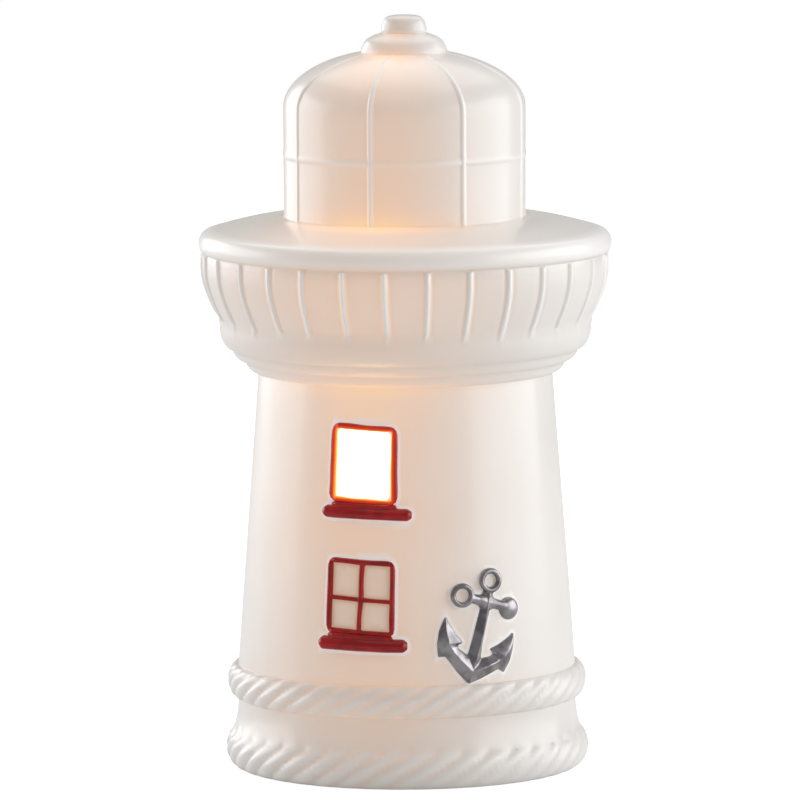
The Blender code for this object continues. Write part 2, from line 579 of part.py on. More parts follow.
# ================================================================ lamp holder
def make_cover(parent, plastic, steel):
    """The holder's cover under the shell's floor, closed by a plate and two screws, with the cord's bush."""
    skin = [(BARREL_RADIUS + SLIDE, DISC_FOOT), (COVER_RADIUS - COVER_WALL, DISC_FOOT),
            (COVER_RADIUS - COVER_WALL, COVER_FOOT), (COVER_RADIUS, COVER_FOOT)]
    skin += arc((COVER_RADIUS - COVER_ROUND, COVER_TOP - COVER_ROUND), (COVER_ROUND, COVER_ROUND), 0.0, 90.0, 3)
    skin += [(BARREL_RADIUS + SLIDE, COVER_TOP)]
    cover = add_object("base_cover", lathe(skin, COVER_SEGMENTS), plastic, parent)
    places = [(-POST_OFFSET, 0.0), (POST_OFFSET, 0.0)]
    posts = [rod(POST_RADIUS, COVER_FOOT, DISC_FOOT + 0.3 * COVER_TOP_THICKNESS, place) for place in places]
    cutter("screw_posts", join(*posts), cover, "UNION")
    bores = [rod(SCREW_RADIUS + SLIDE, -GAP, SCREW_LENGTH + 2.0 * SLIDE, place) for place in places]
    cutter("screw_bores", join(*bores), cover, "DIFFERENCE")
    hole = rod(BUSH_RADIUS + GAP, 0.5 * COVER_RADIUS + 0.5 * FLANGE_RADIUS, COVER_RADIUS + COVER_WALL)
    cutter("bush_hole", lay_along_y(hole, BUSH_LEVEL), cover, "DIFFERENCE")

    plate_skin = [(0.0, 0.0), (COVER_RADIUS - PLATE_CHAMFER, 0.0), (COVER_RADIUS, PLATE_CHAMFER),
                  (COVER_RADIUS, PLATE_THICKNESS), (0.0, PLATE_THICKNESS)]
    bottom = add_object("bottom_plate", lathe(plate_skin, COVER_SEGMENTS, closed=False), plastic, parent)
    sink = SCREW_HEAD_HEIGHT + SLIDE
    through = [rod(SCREW_RADIUS + SLIDE, -GAP, 2.0 * PLATE_THICKNESS, place) for place in places]
    cutter("plate_holes", join(*through), bottom, "DIFFERENCE")
    sunk = [rod(SCREW_HEAD_RADIUS + SLIDE, -PLATE_THICKNESS, sink, place) for place in places]
    cutter("plate_countersinks", join(*sunk), bottom, "DIFFERENCE")
    for side, place in zip(("left", "right"), places):
        head = sink - GAP
        skin = [(0.0, head - SCREW_HEAD_HEIGHT), (SCREW_HEAD_RADIUS, head - SCREW_HEAD_HEIGHT),
                (SCREW_HEAD_RADIUS, head), (SCREW_RADIUS, head)]
        skin += [(SCREW_RADIUS, SCREW_LENGTH), (0.0, SCREW_LENGTH)]
        bm = lathe(skin, SMALL_SEGMENTS, closed=False)
        bmesh.ops.translate(bm, vec=(*place, 0.0), verts=bm.verts)
        screw = add_object(f"cover_screw_{side}", bm, steel, parent)
        slot = box((2.4 * SCREW_HEAD_RADIUS, SLOT_WIDTH, SLOT_WIDTH), (*place, head - SCREW_HEAD_HEIGHT))
        cutter(f"screw_slot_{side}", slot, screw, "DIFFERENCE")


def lay_along_y(bm, level):
    """Turns what was made along +Z to point along +Y at this level."""
    bmesh.ops.rotate(bm, cent=(0, 0, 0), matrix=Matrix.Rotation(-0.5 * math.pi, 3, "X"), verts=bm.verts)
    bmesh.ops.translate(bm, vec=(0.0, 0.0, level), verts=bm.verts)
    return bm


def make_cord_bush(parent, rubber):
    """The cord's inlet: a flanged bush snapped into the cover's wall."""
    outer = COVER_RADIUS + GAP
    inner = outer - BUSH_LENGTH
    seat = COVER_RADIUS - COVER_WALL - 2.0 * GAP
    snap = BUSH_RADIUS + BUSH_FLANGE
    collar = BUSH_RADIUS + 1.6 * BUSH_FLANGE
    nose = outer + 5.0 * BUSH_FLANGE
    skin = [(CORD_BORE, inner), (snap, seat - 1.5 * BUSH_FLANGE), (snap, seat), (BUSH_RADIUS, seat),
            (BUSH_RADIUS, outer), (collar, outer), (collar, outer + 2.0 * BUSH_FLANGE),
            (BUSH_RADIUS, nose), (CORD_BORE, nose)]
    add_object("cord_bush", lay_along_y(lathe(skin, SMALL_SEGMENTS), BUSH_LEVEL), rubber, parent)


def make_barrel(parent, plastic, insulation):
    """The barrel stands up through the floor's hole; the insert in it holds the electrical parts."""
    lip = 0.25 * BARREL_WALL
    skin = [(BARREL_BORE, FLANGE_TOP - FLANGE_THICKNESS), (FLANGE_RADIUS, FLANGE_TOP - FLANGE_THICKNESS),
            (FLANGE_RADIUS, FLANGE_TOP), (BARREL_RADIUS, FLANGE_TOP), (BARREL_RADIUS, BARREL_TOP - lip),
            (BARREL_RADIUS - lip, BARREL_TOP), (BARREL_BORE + lip, BARREL_TOP), (BARREL_BORE, BARREL_TOP - lip)]
    add_object("holder_barrel", lathe(skin, HOLDER_SEGMENTS), plastic, parent)
    skin = [(INSERT_PIN_HOLE, INSERT_FOOT), (INSERT_RADIUS, INSERT_FOOT), (INSERT_RADIUS, INSERT_TOP),
            (SOCKET_RADIUS, INSERT_TOP), (SOCKET_RADIUS, SOCKET_FLOOR), (INSERT_PIN_HOLE, SOCKET_FLOOR)]
    add_object("holder_insert", lathe(skin, HOLDER_SEGMENTS), insulation, parent)


def thread_wave(vert):
    """Height of a right-handed thread at a point, from -1 in its root to 1 on its crest."""
    turn = math.atan2(vert.co.y, vert.co.x)
    return math.cos(math.tau * vert.co.z / THREAD_PITCH - turn)


def threaded_sleeve(bore, outside, low, turns):
    """A rolled sheet-metal sleeve with the thread on both faces; the radii are its smallest."""
    rows = int(turns * THREAD_ROWS_PER_TURN)
    rise = THREAD_PITCH / THREAD_ROWS_PER_TURN
    inner = [(bore, low + rise * row) for row in range(rows + 1)]
    outer = [(outside, low + rise * row) for row in range(rows, -1, -1)]
    bm = lathe(inner + outer, THREAD_SEGMENTS)
    for vert in bm.verts:
        radius = math.hypot(vert.co.x, vert.co.y)
        scale = (radius + 0.5 * THREAD_DEPTH * (1.0 + thread_wave(vert))) / radius
        vert.co.x *= scale
        vert.co.y *= scale
    return bm


def ribbon(points, width, thickness):
    """A bent strip: a path of (x, z) points, spread along Y and thickened both ways."""
    bm = bmesh.new()
    verts = [bm.verts.new((x, -0.5 * width, z)) for x, z in points]
    edges = [bm.edges.new(pair) for pair in zip(verts, verts[1:])]
    grown = bmesh.ops.extrude_edge_only(bm, edges=edges)
    moved = [item for item in grown["geom"] if isinstance(item, bmesh.types.BMVert)]
    bmesh.ops.translate(bm, vec=(0.0, width, 0.0), verts=moved)
    bmesh.ops.solidify(bm, geom=bm.faces[:], thickness=thickness)
    return bm


def make_contacts(parent, brass, steel):
    """What carries the current: screw shell, centre tongue, side strip, terminals and their screws."""
    bore, outside = SCREW_SHELL_BORE - THREAD_DEPTH, SCREW_SHELL_OUTSIDE - THREAD_DEPTH
    sleeve = threaded_sleeve(bore, outside, BULB_SEAT + SCREW_SHELL_RISE, SHELL_TURNS)
    add_object("screw_shell", sleeve, brass, parent)
    reach = SOCKET_RADIUS - 0.5 * TONGUE_WIDTH
    crest = BULB_SEAT - GAP - CLIP_THICKNESS
    foot = SOCKET_FLOOR + GAP + CLIP_THICKNESS
    bow = [(reach * share, foot + (crest - foot) * math.cos(0.5 * math.pi * share))
           for share in (-1.0, -0.6, -0.25, 0.25, 0.6, 1.0)]
    add_object("centre_contact", ribbon(bow, TONGUE_WIDTH, CLIP_THICKNESS), brass, parent)
    strip = (*SIDE_STRIP, INSERT_TOP - SOCKET_FLOOR - 6.0 * GAP)
    middle = (0.0, -SIDE_CONTACT_INNER - 0.5 * SIDE_STRIP[1], 0.5 * (INSERT_TOP + SOCKET_FLOOR))
    add_object("side_contact", box(strip, middle), brass, parent)
    block = TERMINAL_BLOCK
    for name, side in (("live", -1.0), ("neutral", 1.0)):
        place = (side * 0.5 * BARREL_BORE, 0.0)
        top = INSERT_FOOT - GAP
        middle = (*place, top - 0.5 * block[2])
        terminal = add_object(f"{name}_terminal", box(block, middle), brass, parent)
        bore = rod(SCREW_RADIUS + SLIDE, top - 2.0 * block[2], top - 0.2 * block[2], place)
        cutter(f"{name}_screw_bore", bore, terminal, "DIFFERENCE")
        wire = lay_along_y(rod(TERMINAL_WIRE_HOLE, -block[1], block[1]), top - 0.3 * block[2])
        bmesh.ops.translate(wire, vec=(place[0], 0.0, 0.0), verts=wire.verts)
        cutter(f"{name}_wire_bore", wire, terminal, "DIFFERENCE")
        foot = top - block[2] - GAP
        skin = [(0.0, foot - SCREW_HEAD_HEIGHT), (2.0 * SCREW_RADIUS, foot - SCREW_HEAD_HEIGHT),
                (2.0 * SCREW_RADIUS, foot), (SCREW_RADIUS, foot), (SCREW_RADIUS, foot + 0.5 * block[2]),
                (0.0, foot + 0.5 * block[2])]
        bm = lathe(skin, SMALL_SEGMENTS, closed=False)
        bmesh.ops.translate(bm, vec=(*place, 0.0), verts=bm.verts)
        add_object(f"{name}_terminal_screw", bm, steel, parent)


def make_clips(parent, spring_steel):
    """A band round the barrel and two sprung wings that catch on the floor's hole, each on its own pivot."""
    inner = BARREL_RADIUS + GAP
    low, high = CLIP_PIVOT_LEVEL - 0.4 * BAND_CLIP_HEIGHT, CLIP_PIVOT_LEVEL + 0.6 * BAND_CLIP_HEIGHT
    band = [(inner, low), (inner + CLIP_THICKNESS, low), (inner + CLIP_THICKNESS, high), (inner, high)]
    add_object("clip_band", lathe(band, HOLDER_SEGMENTS), spring_steel, parent)
    bend = HOLE_RADIUS + CLIP_CATCH
    bend_level = FLOOR_TOP + CLIP_BEND_LEVEL
    through = HOLE_RADIUS - SLIDE - CLIP_THICKNESS
    for name, side in (("left_clip", -1.0), ("right_clip", 1.0)):
        pivot = empty(f"{name}_pivot", (side * CLIP_PIVOT_RADIUS, 0.0, CLIP_PIVOT_LEVEL), parent)
        path = [(CLIP_PIVOT_RADIUS, CLIP_PIVOT_LEVEL + CLIP_TAB), (CLIP_PIVOT_RADIUS, CLIP_PIVOT_LEVEL),
                (bend - 0.3 * CLIP_CATCH, bend_level + CLIP_BEND_ROUND), (bend, bend_level),
                (bend - 0.2 * CLIP_CATCH, bend_level - CLIP_BEND_ROUND),
                (through, FLOOR_TOP), (through - 0.6 * CLIP_CATCH, RECESS_DEPTH + CLIP_BEND_ROUND)]
        bm = ribbon([(side * x, z) for x, z in path], CLIP_WIDTH, CLIP_THICKNESS)
        add_object(name, bm, spring_steel, pivot, sharp=50.0)


# ================================================================ candle bulb
def glass_outline(low, inset):
    """The candle's outside, or its inside at a wall's inset, from the neck up to the tip."""
    foot = BULB_SEAT + low
    tip = BULB_SEAT + BULB_LENGTH - inset
    neck = CAP_SKIRT_RADIUS - CAP_WALL - NECK_CLEARANCE
    neck_top = foot + NECK_HEIGHT_OF_GLASS
    belly = foot + GLASS_BELLY * (tip - foot)
    points = [(neck - inset, foot)]
    for index in range(5):
        share = index / 4
        swell = 0.5 - 0.5 * math.cos(math.pi * share)
        points.append((neck + (BULB_RADIUS - neck) * swell - inset, neck_top + (belly - neck_top) * share))
    for index in range(1, 6):
        angle = 0.5 * math.pi * index / 6
        radius = (BULB_RADIUS - inset) * math.cos(angle) ** 1.25
        points.append((radius, belly + (tip - belly) * math.sin(angle)))
    return points + [(0.0, tip)]


def make_bulb(light_unit, brass, black_glass, glass, metals):
    """The bulb turns and rises together in the holder's thread; its contact button only rises."""
    rise = empty("bulb_rise_axis", (0.0, 0.0, BULB_SEAT), light_unit)
    turn = empty("bulb_turn_axis", (0.0, 0.0, BULB_SEAT), light_unit)
    top = BULB_SEAT + CONTACT_BUTTON
    skin = [(0.0, BULB_SEAT), (0.75 * CONTACT_RADIUS, BULB_SEAT),
            (CONTACT_RADIUS, BULB_SEAT + 0.4 * CONTACT_BUTTON), (CONTACT_RADIUS, top), (0.0, top)]
    add_object("bulb_centre_contact", lathe(skin, SMALL_SEGMENTS, closed=False), metals["solder"], rise)

    cone = top + GAP
    cap_foot = BULB_SEAT + CAP_FOOT_RISE
    bore = THREAD_MINOR - CAP_WALL
    skin = [(0.0, cone), (CONTACT_RADIUS, cone), (bore, cap_foot - GAP), (0.0, cap_foot - GAP)]
    add_object("bulb_cap_insulator", lathe(skin, SMALL_SEGMENTS, closed=False), black_glass, turn)
    make_cap(cap_foot, brass, turn)

    envelope = list(reversed(glass_outline(GLASS_FOOT_RISE, GLASS_WALL))) + glass_outline(GLASS_FOOT_RISE, 0.0)
    add_object("bulb_glass", lathe(envelope, HOLDER_SEGMENTS, closed=False), glass, turn)
    make_mount(glass, metals, turn)


def make_mount(glass, metals, parent):
    """What stands inside the envelope: the glass stem, its two lead wires and the filament."""
    foot = BULB_SEAT + GLASS_FOOT_RISE - 0.5 * STEM_RADIUS
    top = foot + STEM_HEIGHT
    skin = [(0.0, foot), (1.8 * STEM_RADIUS, foot), (1.6 * STEM_RADIUS, foot + 0.08 * STEM_HEIGHT),
            (STEM_RADIUS, foot + 0.26 * STEM_HEIGHT), (0.86 * STEM_RADIUS, top - 0.13 * STEM_HEIGHT),
            (0.36 * STEM_RADIUS, top), (0.0, top)]
    add_object("glass_stem", lathe(skin, SMALL_SEGMENTS, closed=False), glass, parent)
    wire_top = top + LEAD_RISE
    wire_foot = STEM_RADIUS + SLIDE + WIRE_RADIUS
    for name, side in (("lead_wire_left", -1.0), ("lead_wire_right", 1.0)):
        route = [(side * wire_foot, 0.0, foot + 0.32 * STEM_HEIGHT), (side * wire_foot, 0.0, top),
                 (side * LEAD_SPREAD, 0.0, wire_top)]
        make_wire(name, route, metals["nickel"], parent)
    level = wire_top + 2.0 * WIRE_RADIUS + GAP
    coil = [(LEAD_SPREAD * share, 0.0, level + FILAMENT_ARCH * (1.0 - share * share))
            for share in (-1.0, -0.6, -0.2, 0.2, 0.6, 1.0)]
    make_wire("filament", coil, metals["tungsten"], parent)


def make_cap(foot, brass, parent):
    """The E14 cap: a hemmed foot, the rolled thread and the skirt that takes the glass neck."""
    rise = THREAD_PITCH / THREAD_ROWS_PER_TURN
    rows = int(CAP_TURNS * THREAD_ROWS_PER_TURN)
    start = foot + CAP_WALL
    end = start + rows * rise
    bore = THREAD_MINOR - CAP_WALL
    hem = 0.6 * THREAD_MINOR
    flare = CAP_SKIRT_RADIUS - THREAD_MINOR
    skin = [(hem, foot), (bore, foot)]
    skin += [(THREAD_MINOR, start + rise * row) for row in range(rows + 1)]
    skin += [(THREAD_MINOR + 0.22 * flare, end + 0.14 * CAP_SKIRT_HEIGHT),
             (THREAD_MINOR + 0.58 * flare, end + 0.28 * CAP_SKIRT_HEIGHT),
             (CAP_SKIRT_RADIUS, end + 0.69 * CAP_SKIRT_HEIGHT), (CAP_SKIRT_RADIUS, end + CAP_SKIRT_HEIGHT)]
    inner = CAP_SKIRT_RADIUS - CAP_WALL
    skin += [(inner, end + CAP_SKIRT_HEIGHT), (inner, end + 0.71 * CAP_SKIRT_HEIGHT),
             (bore + 0.36 * flare, end + 0.31 * CAP_SKIRT_HEIGHT), (bore, end + 0.15 * CAP_SKIRT_HEIGHT),
             (bore, foot + CAP_WALL), (hem, foot + CAP_WALL)]
    bm = lathe(skin, THREAD_SEGMENTS)
    for vert in bm.verts:
        radius = math.hypot(vert.co.x, vert.co.y)
        if abs(radius - THREAD_MINOR) > 1e-6:
            continue
        runout = min(vert.co.z - start, end - vert.co.z) / THREAD_PITCH
        depth = THREAD_DEPTH * min(1.0, max(0.0, 2.0 * runout))
        scale = (radius + 0.5 * depth * (1.0 + thread_wave(vert))) / radius
        vert.co.x *= scale
        vert.co.y *= scale
    add_object("bulb_cap", bm, brass, parent)


def make_wire(name, route, mat, parent):
    """A round wire along a route given in the lamp's own frame."""
    curve = bpy.data.curves.new(name, "CURVE")
    curve.dimensions = "3D"
    curve.bevel_depth = WIRE_RADIUS
    curve.bevel_resolution = 1
    curve.use_fill_caps = True
    spline = curve.splines.new("POLY")
    spline.points.add(len(route) - 1)
    origin = parent.location + parent.parent.location
    for point, place in zip(spline.points, route):
        point.co = (*(Vector(place) - origin), 1.0)
    curve.materials.append(mat)
    obj = bpy.data.objects.new(name, curve)
    obj.parent = parent
    bpy.context.scene.collection.objects.link(obj)


# ================================================================ assembly
def main():
    """Builds the lamp: the light unit stands on the table and the lighthouse lifts off it."""
    for obj in list(bpy.data.objects):
        bpy.data.objects.remove(obj, do_unlink=True)

    porcelain = material("glazed_porcelain", (0.86, 0.80, 0.74), 0.12)
    red = material("red_enamel", (0.42, 0.006, 0.008), 0.15)
    lustre = material("platinum_lustre", (0.30, 0.30, 0.32), 0.22, 0.9)
    plastic = material("white_thermoplastic", (0.78, 0.77, 0.74), 0.45)
    insulation = material("steatite_insert", (0.72, 0.69, 0.62), 0.6)
    rubber = material("bush_rubber", (0.05, 0.05, 0.05), 0.7)
    brass = material("contact_brass", (0.72, 0.50, 0.22), 0.3, 1.0)
    cap_metal = material("nickelled_cap", (0.68, 0.66, 0.62), 0.3, 1.0)
    steel = material("zinc_steel", (0.62, 0.63, 0.65), 0.35, 1.0)
    spring_steel = material("spring_steel", (0.45, 0.46, 0.48), 0.3, 1.0)
    glass = material("frosted_glass", (0.95, 0.94, 0.92), 0.35, 0.0, 0.8)
    black_glass = material("cap_glass", (0.02, 0.02, 0.025), 0.1)
    metals = {"solder": material("solder", (0.60, 0.60, 0.60), 0.4, 1.0),
              "nickel": material("nickel_wire", (0.60, 0.58, 0.54), 0.3, 1.0),
              "tungsten": material("tungsten", (0.35, 0.34, 0.33), 0.5, 1.0)}

    light_unit = empty("light_unit", (0.0, 0.0, 0.0))
    lighthouse = empty("shell_lift_axis", (0.0, 0.0, 0.0), light_unit)
    make_shell(lighthouse, porcelain)
    make_windows(red, lighthouse)
    make_anchor(lustre, lighthouse)
    make_cover(light_unit, plastic, steel)
    make_cord_bush(light_unit, rubber)
    make_barrel(light_unit, plastic, insulation)
    make_contacts(light_unit, brass, steel)
    make_clips(light_unit, spring_steel)
    make_bulb(light_unit, cap_metal, black_glass, glass, metals)


main()
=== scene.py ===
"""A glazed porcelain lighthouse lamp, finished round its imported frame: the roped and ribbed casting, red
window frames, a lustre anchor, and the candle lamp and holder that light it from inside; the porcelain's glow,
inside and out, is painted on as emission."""

import json
import logging
import math
from dataclasses import dataclass, field
from enum import Enum
from typing import Callable

import bmesh
import bpy
from mathutils import Matrix, Vector, noise
from mathutils.bvhtree import BVHTree

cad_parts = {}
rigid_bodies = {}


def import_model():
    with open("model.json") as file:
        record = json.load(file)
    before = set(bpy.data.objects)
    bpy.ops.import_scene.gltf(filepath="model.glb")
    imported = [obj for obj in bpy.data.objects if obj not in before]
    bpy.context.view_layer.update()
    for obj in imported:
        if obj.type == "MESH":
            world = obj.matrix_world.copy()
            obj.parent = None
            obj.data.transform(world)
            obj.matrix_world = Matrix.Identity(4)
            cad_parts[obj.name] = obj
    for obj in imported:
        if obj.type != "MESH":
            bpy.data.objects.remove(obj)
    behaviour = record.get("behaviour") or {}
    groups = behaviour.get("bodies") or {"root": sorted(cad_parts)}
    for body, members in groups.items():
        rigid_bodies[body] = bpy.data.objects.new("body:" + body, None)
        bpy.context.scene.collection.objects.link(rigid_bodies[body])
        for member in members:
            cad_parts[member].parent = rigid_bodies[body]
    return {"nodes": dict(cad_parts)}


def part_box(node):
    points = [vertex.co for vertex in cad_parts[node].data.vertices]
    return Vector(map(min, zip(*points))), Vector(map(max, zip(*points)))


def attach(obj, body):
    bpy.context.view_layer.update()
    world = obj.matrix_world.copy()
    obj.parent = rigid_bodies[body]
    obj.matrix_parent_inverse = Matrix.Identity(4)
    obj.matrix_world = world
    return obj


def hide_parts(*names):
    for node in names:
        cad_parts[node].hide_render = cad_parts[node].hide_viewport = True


for leftover in list(bpy.data.objects):
    bpy.data.objects.remove(leftover)
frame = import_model()

LOG = logging.getLogger("lighthouse")
MM = 0.001
Point = tuple[float, float]
Colour = tuple[float, float, float]


# ---------------------------------------------------------------- small helpers
def smoothstep(low: float, high: float, value: float) -> float:
    """Rises smoothly from 0 at low to 1 at high.

    Args:
        low: where the rise starts.
        high: where it ends; below low, the step falls instead.
        value: the place asked about.

    Returns:
        The height of the step there, 0 to 1.
    """
    share = min(1.0, max(0.0, (value - low) / (high - low)))
    return share * share * (3.0 - 2.0 * share)


def arc(centre: Point, radii: Point, start: float, end: float, steps: int) -> list[Point]:
    """Points along an ellipse, both ends included.

    Args:
        centre: the ellipse's middle.
        radii: its half width and half height.
        start: the first angle, in degrees from the half width's end.
        end: the last angle.
        steps: how many stretches lie between them.

    Returns:
        The points in order.
    """
    angles = [math.radians(start + (end - start) * index / steps) for index in range(steps + 1)]
    return [(centre[0] + radii[0] * math.cos(a), centre[1] + radii[1] * math.sin(a)) for a in angles]


def line(start: Point, end: Point, steps: int) -> list[Point]:
    """Points along a straight run, its last one included and its first one not."""
    return [(start[0] + (end[0] - start[0]) * index / steps, start[1] + (end[1] - start[1]) * index / steps)
            for index in range(1, steps + 1)]


def between(knots: list[Point], place: float) -> float:
    """Reads a value along straight runs between knots.

    Args:
        knots: (place, value) pairs in rising order of place.
        place: where to read.

    Returns:
        The value there, held level past either end.
    """
    if place <= knots[0][0]:
        return knots[0][1]
    for (low, first), (high, second) in zip(knots, knots[1:]):
        if place <= high:
            return first + (second - first) * (place - low) / max(high - low, 1e-9)
    return knots[-1][1]


def waver(seed: float, place: float, pitch: float) -> float:
    """A smooth hand-made unevenness, -1 to 1, that repeats for the same seed and place."""
    return noise.noise(Vector((seed * 7.31, place * pitch, seed * 2.17)))


def finish_object(name: str, bm: bmesh.types.BMesh, material: bpy.types.Material, body: str,
                  nodes: tuple[str, ...] = (), sharp: float = 40.0) -> bpy.types.Object:
    """Turns a mesh into a piece: smooth faces, material, body, slot and the nodes it stands for.

    Args:
        name: the piece's name.
        bm: its mesh, which is freed.
        material: its finish.
        body: the body it moves with.
        nodes: the CAD nodes it replaces.
        sharp: edges steeper than this many degrees stay crisp.

    Returns:
        The piece.
    """
    mesh = bpy.data.meshes.new(name)
    bm.to_mesh(mesh)
    bm.free()
    mesh.materials.append(material)
    mesh.shade_smooth()
    mesh.set_sharp_from_angle(angle=math.radians(sharp))
    piece = bpy.data.objects.new(name, mesh)
    bpy.context.scene.collection.objects.link(piece)
    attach(piece, body)
    if nodes:
        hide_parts(*nodes)
    LOG.info("%s: %d faces", name, len(mesh.polygons))
    return piece


def evaluated(bm: bmesh.types.BMesh, dress: Callable[[bpy.types.Object], None]) -> bmesh.types.BMesh:
    """Applies modifiers to a mesh.

    Args:
        bm: the mesh, which is freed.
        dress: adds the modifiers to the object it is given.

    Returns:
        The mesh as the modifiers leave it.
    """
    mesh = bpy.data.meshes.new("working")
    bm.to_mesh(mesh)
    bm.free()
    worker = bpy.data.objects.new("working", mesh)
    bpy.context.scene.collection.objects.link(worker)
    dress(worker)
    result = bmesh.new()
    result.from_object(worker, bpy.context.evaluated_depsgraph_get())
    bpy.data.objects.remove(worker)
    bpy.data.meshes.remove(mesh)
    return result


def lathe(points: list[Point], steps: int, closed: bool = True) -> bmesh.types.BMesh:
    """Turns an outline of (radius, height) points round the upright axis.

    Args:
        points: the outline.
        steps: how many stretches go round.
        closed: whether the last point joins the first; an open outline ends on the axis.

    Returns:
        The turned mesh, its faces outwards.
    """
    bm = bmesh.new()
    verts = [bm.verts.new((radius, 0.0, height)) for radius, height in points]
    pairs = list(zip(verts, verts[1:] + verts[:1])) if closed else list(zip(verts, verts[1:]))
    edges = [bm.edges.new(pair) for pair in pairs]
    bmesh.ops.spin(bm, geom=verts + edges, cent=(0, 0, 0), axis=(0, 0, 1), dvec=(0, 0, 0),
                   angle=math.tau, steps=steps, use_merge=True, use_duplicate=False)
    bmesh.ops.remove_doubles(bm, verts=bm.verts, dist=1e-6)
    bmesh.ops.recalc_face_normals(bm, faces=bm.faces)
    return bm


# ---------------------------------------------------------------- the casting's outline
class Zone(Enum):
    """The stretches of the casting's skin, which carry different reliefs."""

    PLAIN = 0
    ROPE = 1
    TOWER = 2
    BOWL = 3
    LANTERN = 4
    DOME = 5
    INSIDE = 6


@dataclass(frozen=True)
class Ring:
    """One level of the turned outline: its radius, height, zone, and place across its rope, 0 to 1."""

    radius: float
    height: float
    zone: Zone
    across: float = 0.0


@dataclass(frozen=True)
class Rope:
    """One of the twisted ropes cast round the foot."""

    radius: float       # where it springs from the wall
    height: float       # of its middle
    reach: float        # how far it stands proud
    half: float         # half its height
    top: float          # angle at which the wall above it takes over, in degrees
    strands: int
    depth: float = 1.5 * MM
    advance: float = 2.1   # strands that one strand passes on its way up

    def rings(self, steps: int) -> list[Ring]:
        """The rope's plain section, bottom to top."""
        points = arc((self.radius, self.height), (self.reach, self.half), -90.0, self.top, steps)
        return [Ring(radius, height, Zone.ROPE, 0.5 + 0.5 * (height - self.height) / self.half)
                for radius, height in points]

    def relief(self, turn: float, across: float) -> float:
        """How far a strand swells out of the plain section, or a valley sinks into it.

        Args:
            turn: the angle round the axis.
            across: the place up the rope, 0 to 1.

        Returns:
            Metres outwards, negative in the valleys.
        """
        drift = 0.10 * waver(self.height * 90.0, turn, 5.0)
        phase = self.strands * turn / math.tau - self.advance * (across - 0.5) + drift
        place = abs(2.0 * (phase - math.floor(phase)) - 1.0)
        lobe = 1.0 - place ** 2.3
        worn = 0.86 + 0.34 * waver(self.height * 40.0, turn, 1.7)
        ends = math.sin(math.pi * min(1.0, max(0.0, across))) ** 0.4
        return self.depth * worn * ends * (lobe - 0.62)


@dataclass(frozen=True)
class Rib:
    """One raised rib under the rim; its place, width, height and foot are all a little uneven."""

    turn: float
    half_width: float
    relief: float
    foot: float
    lean: float


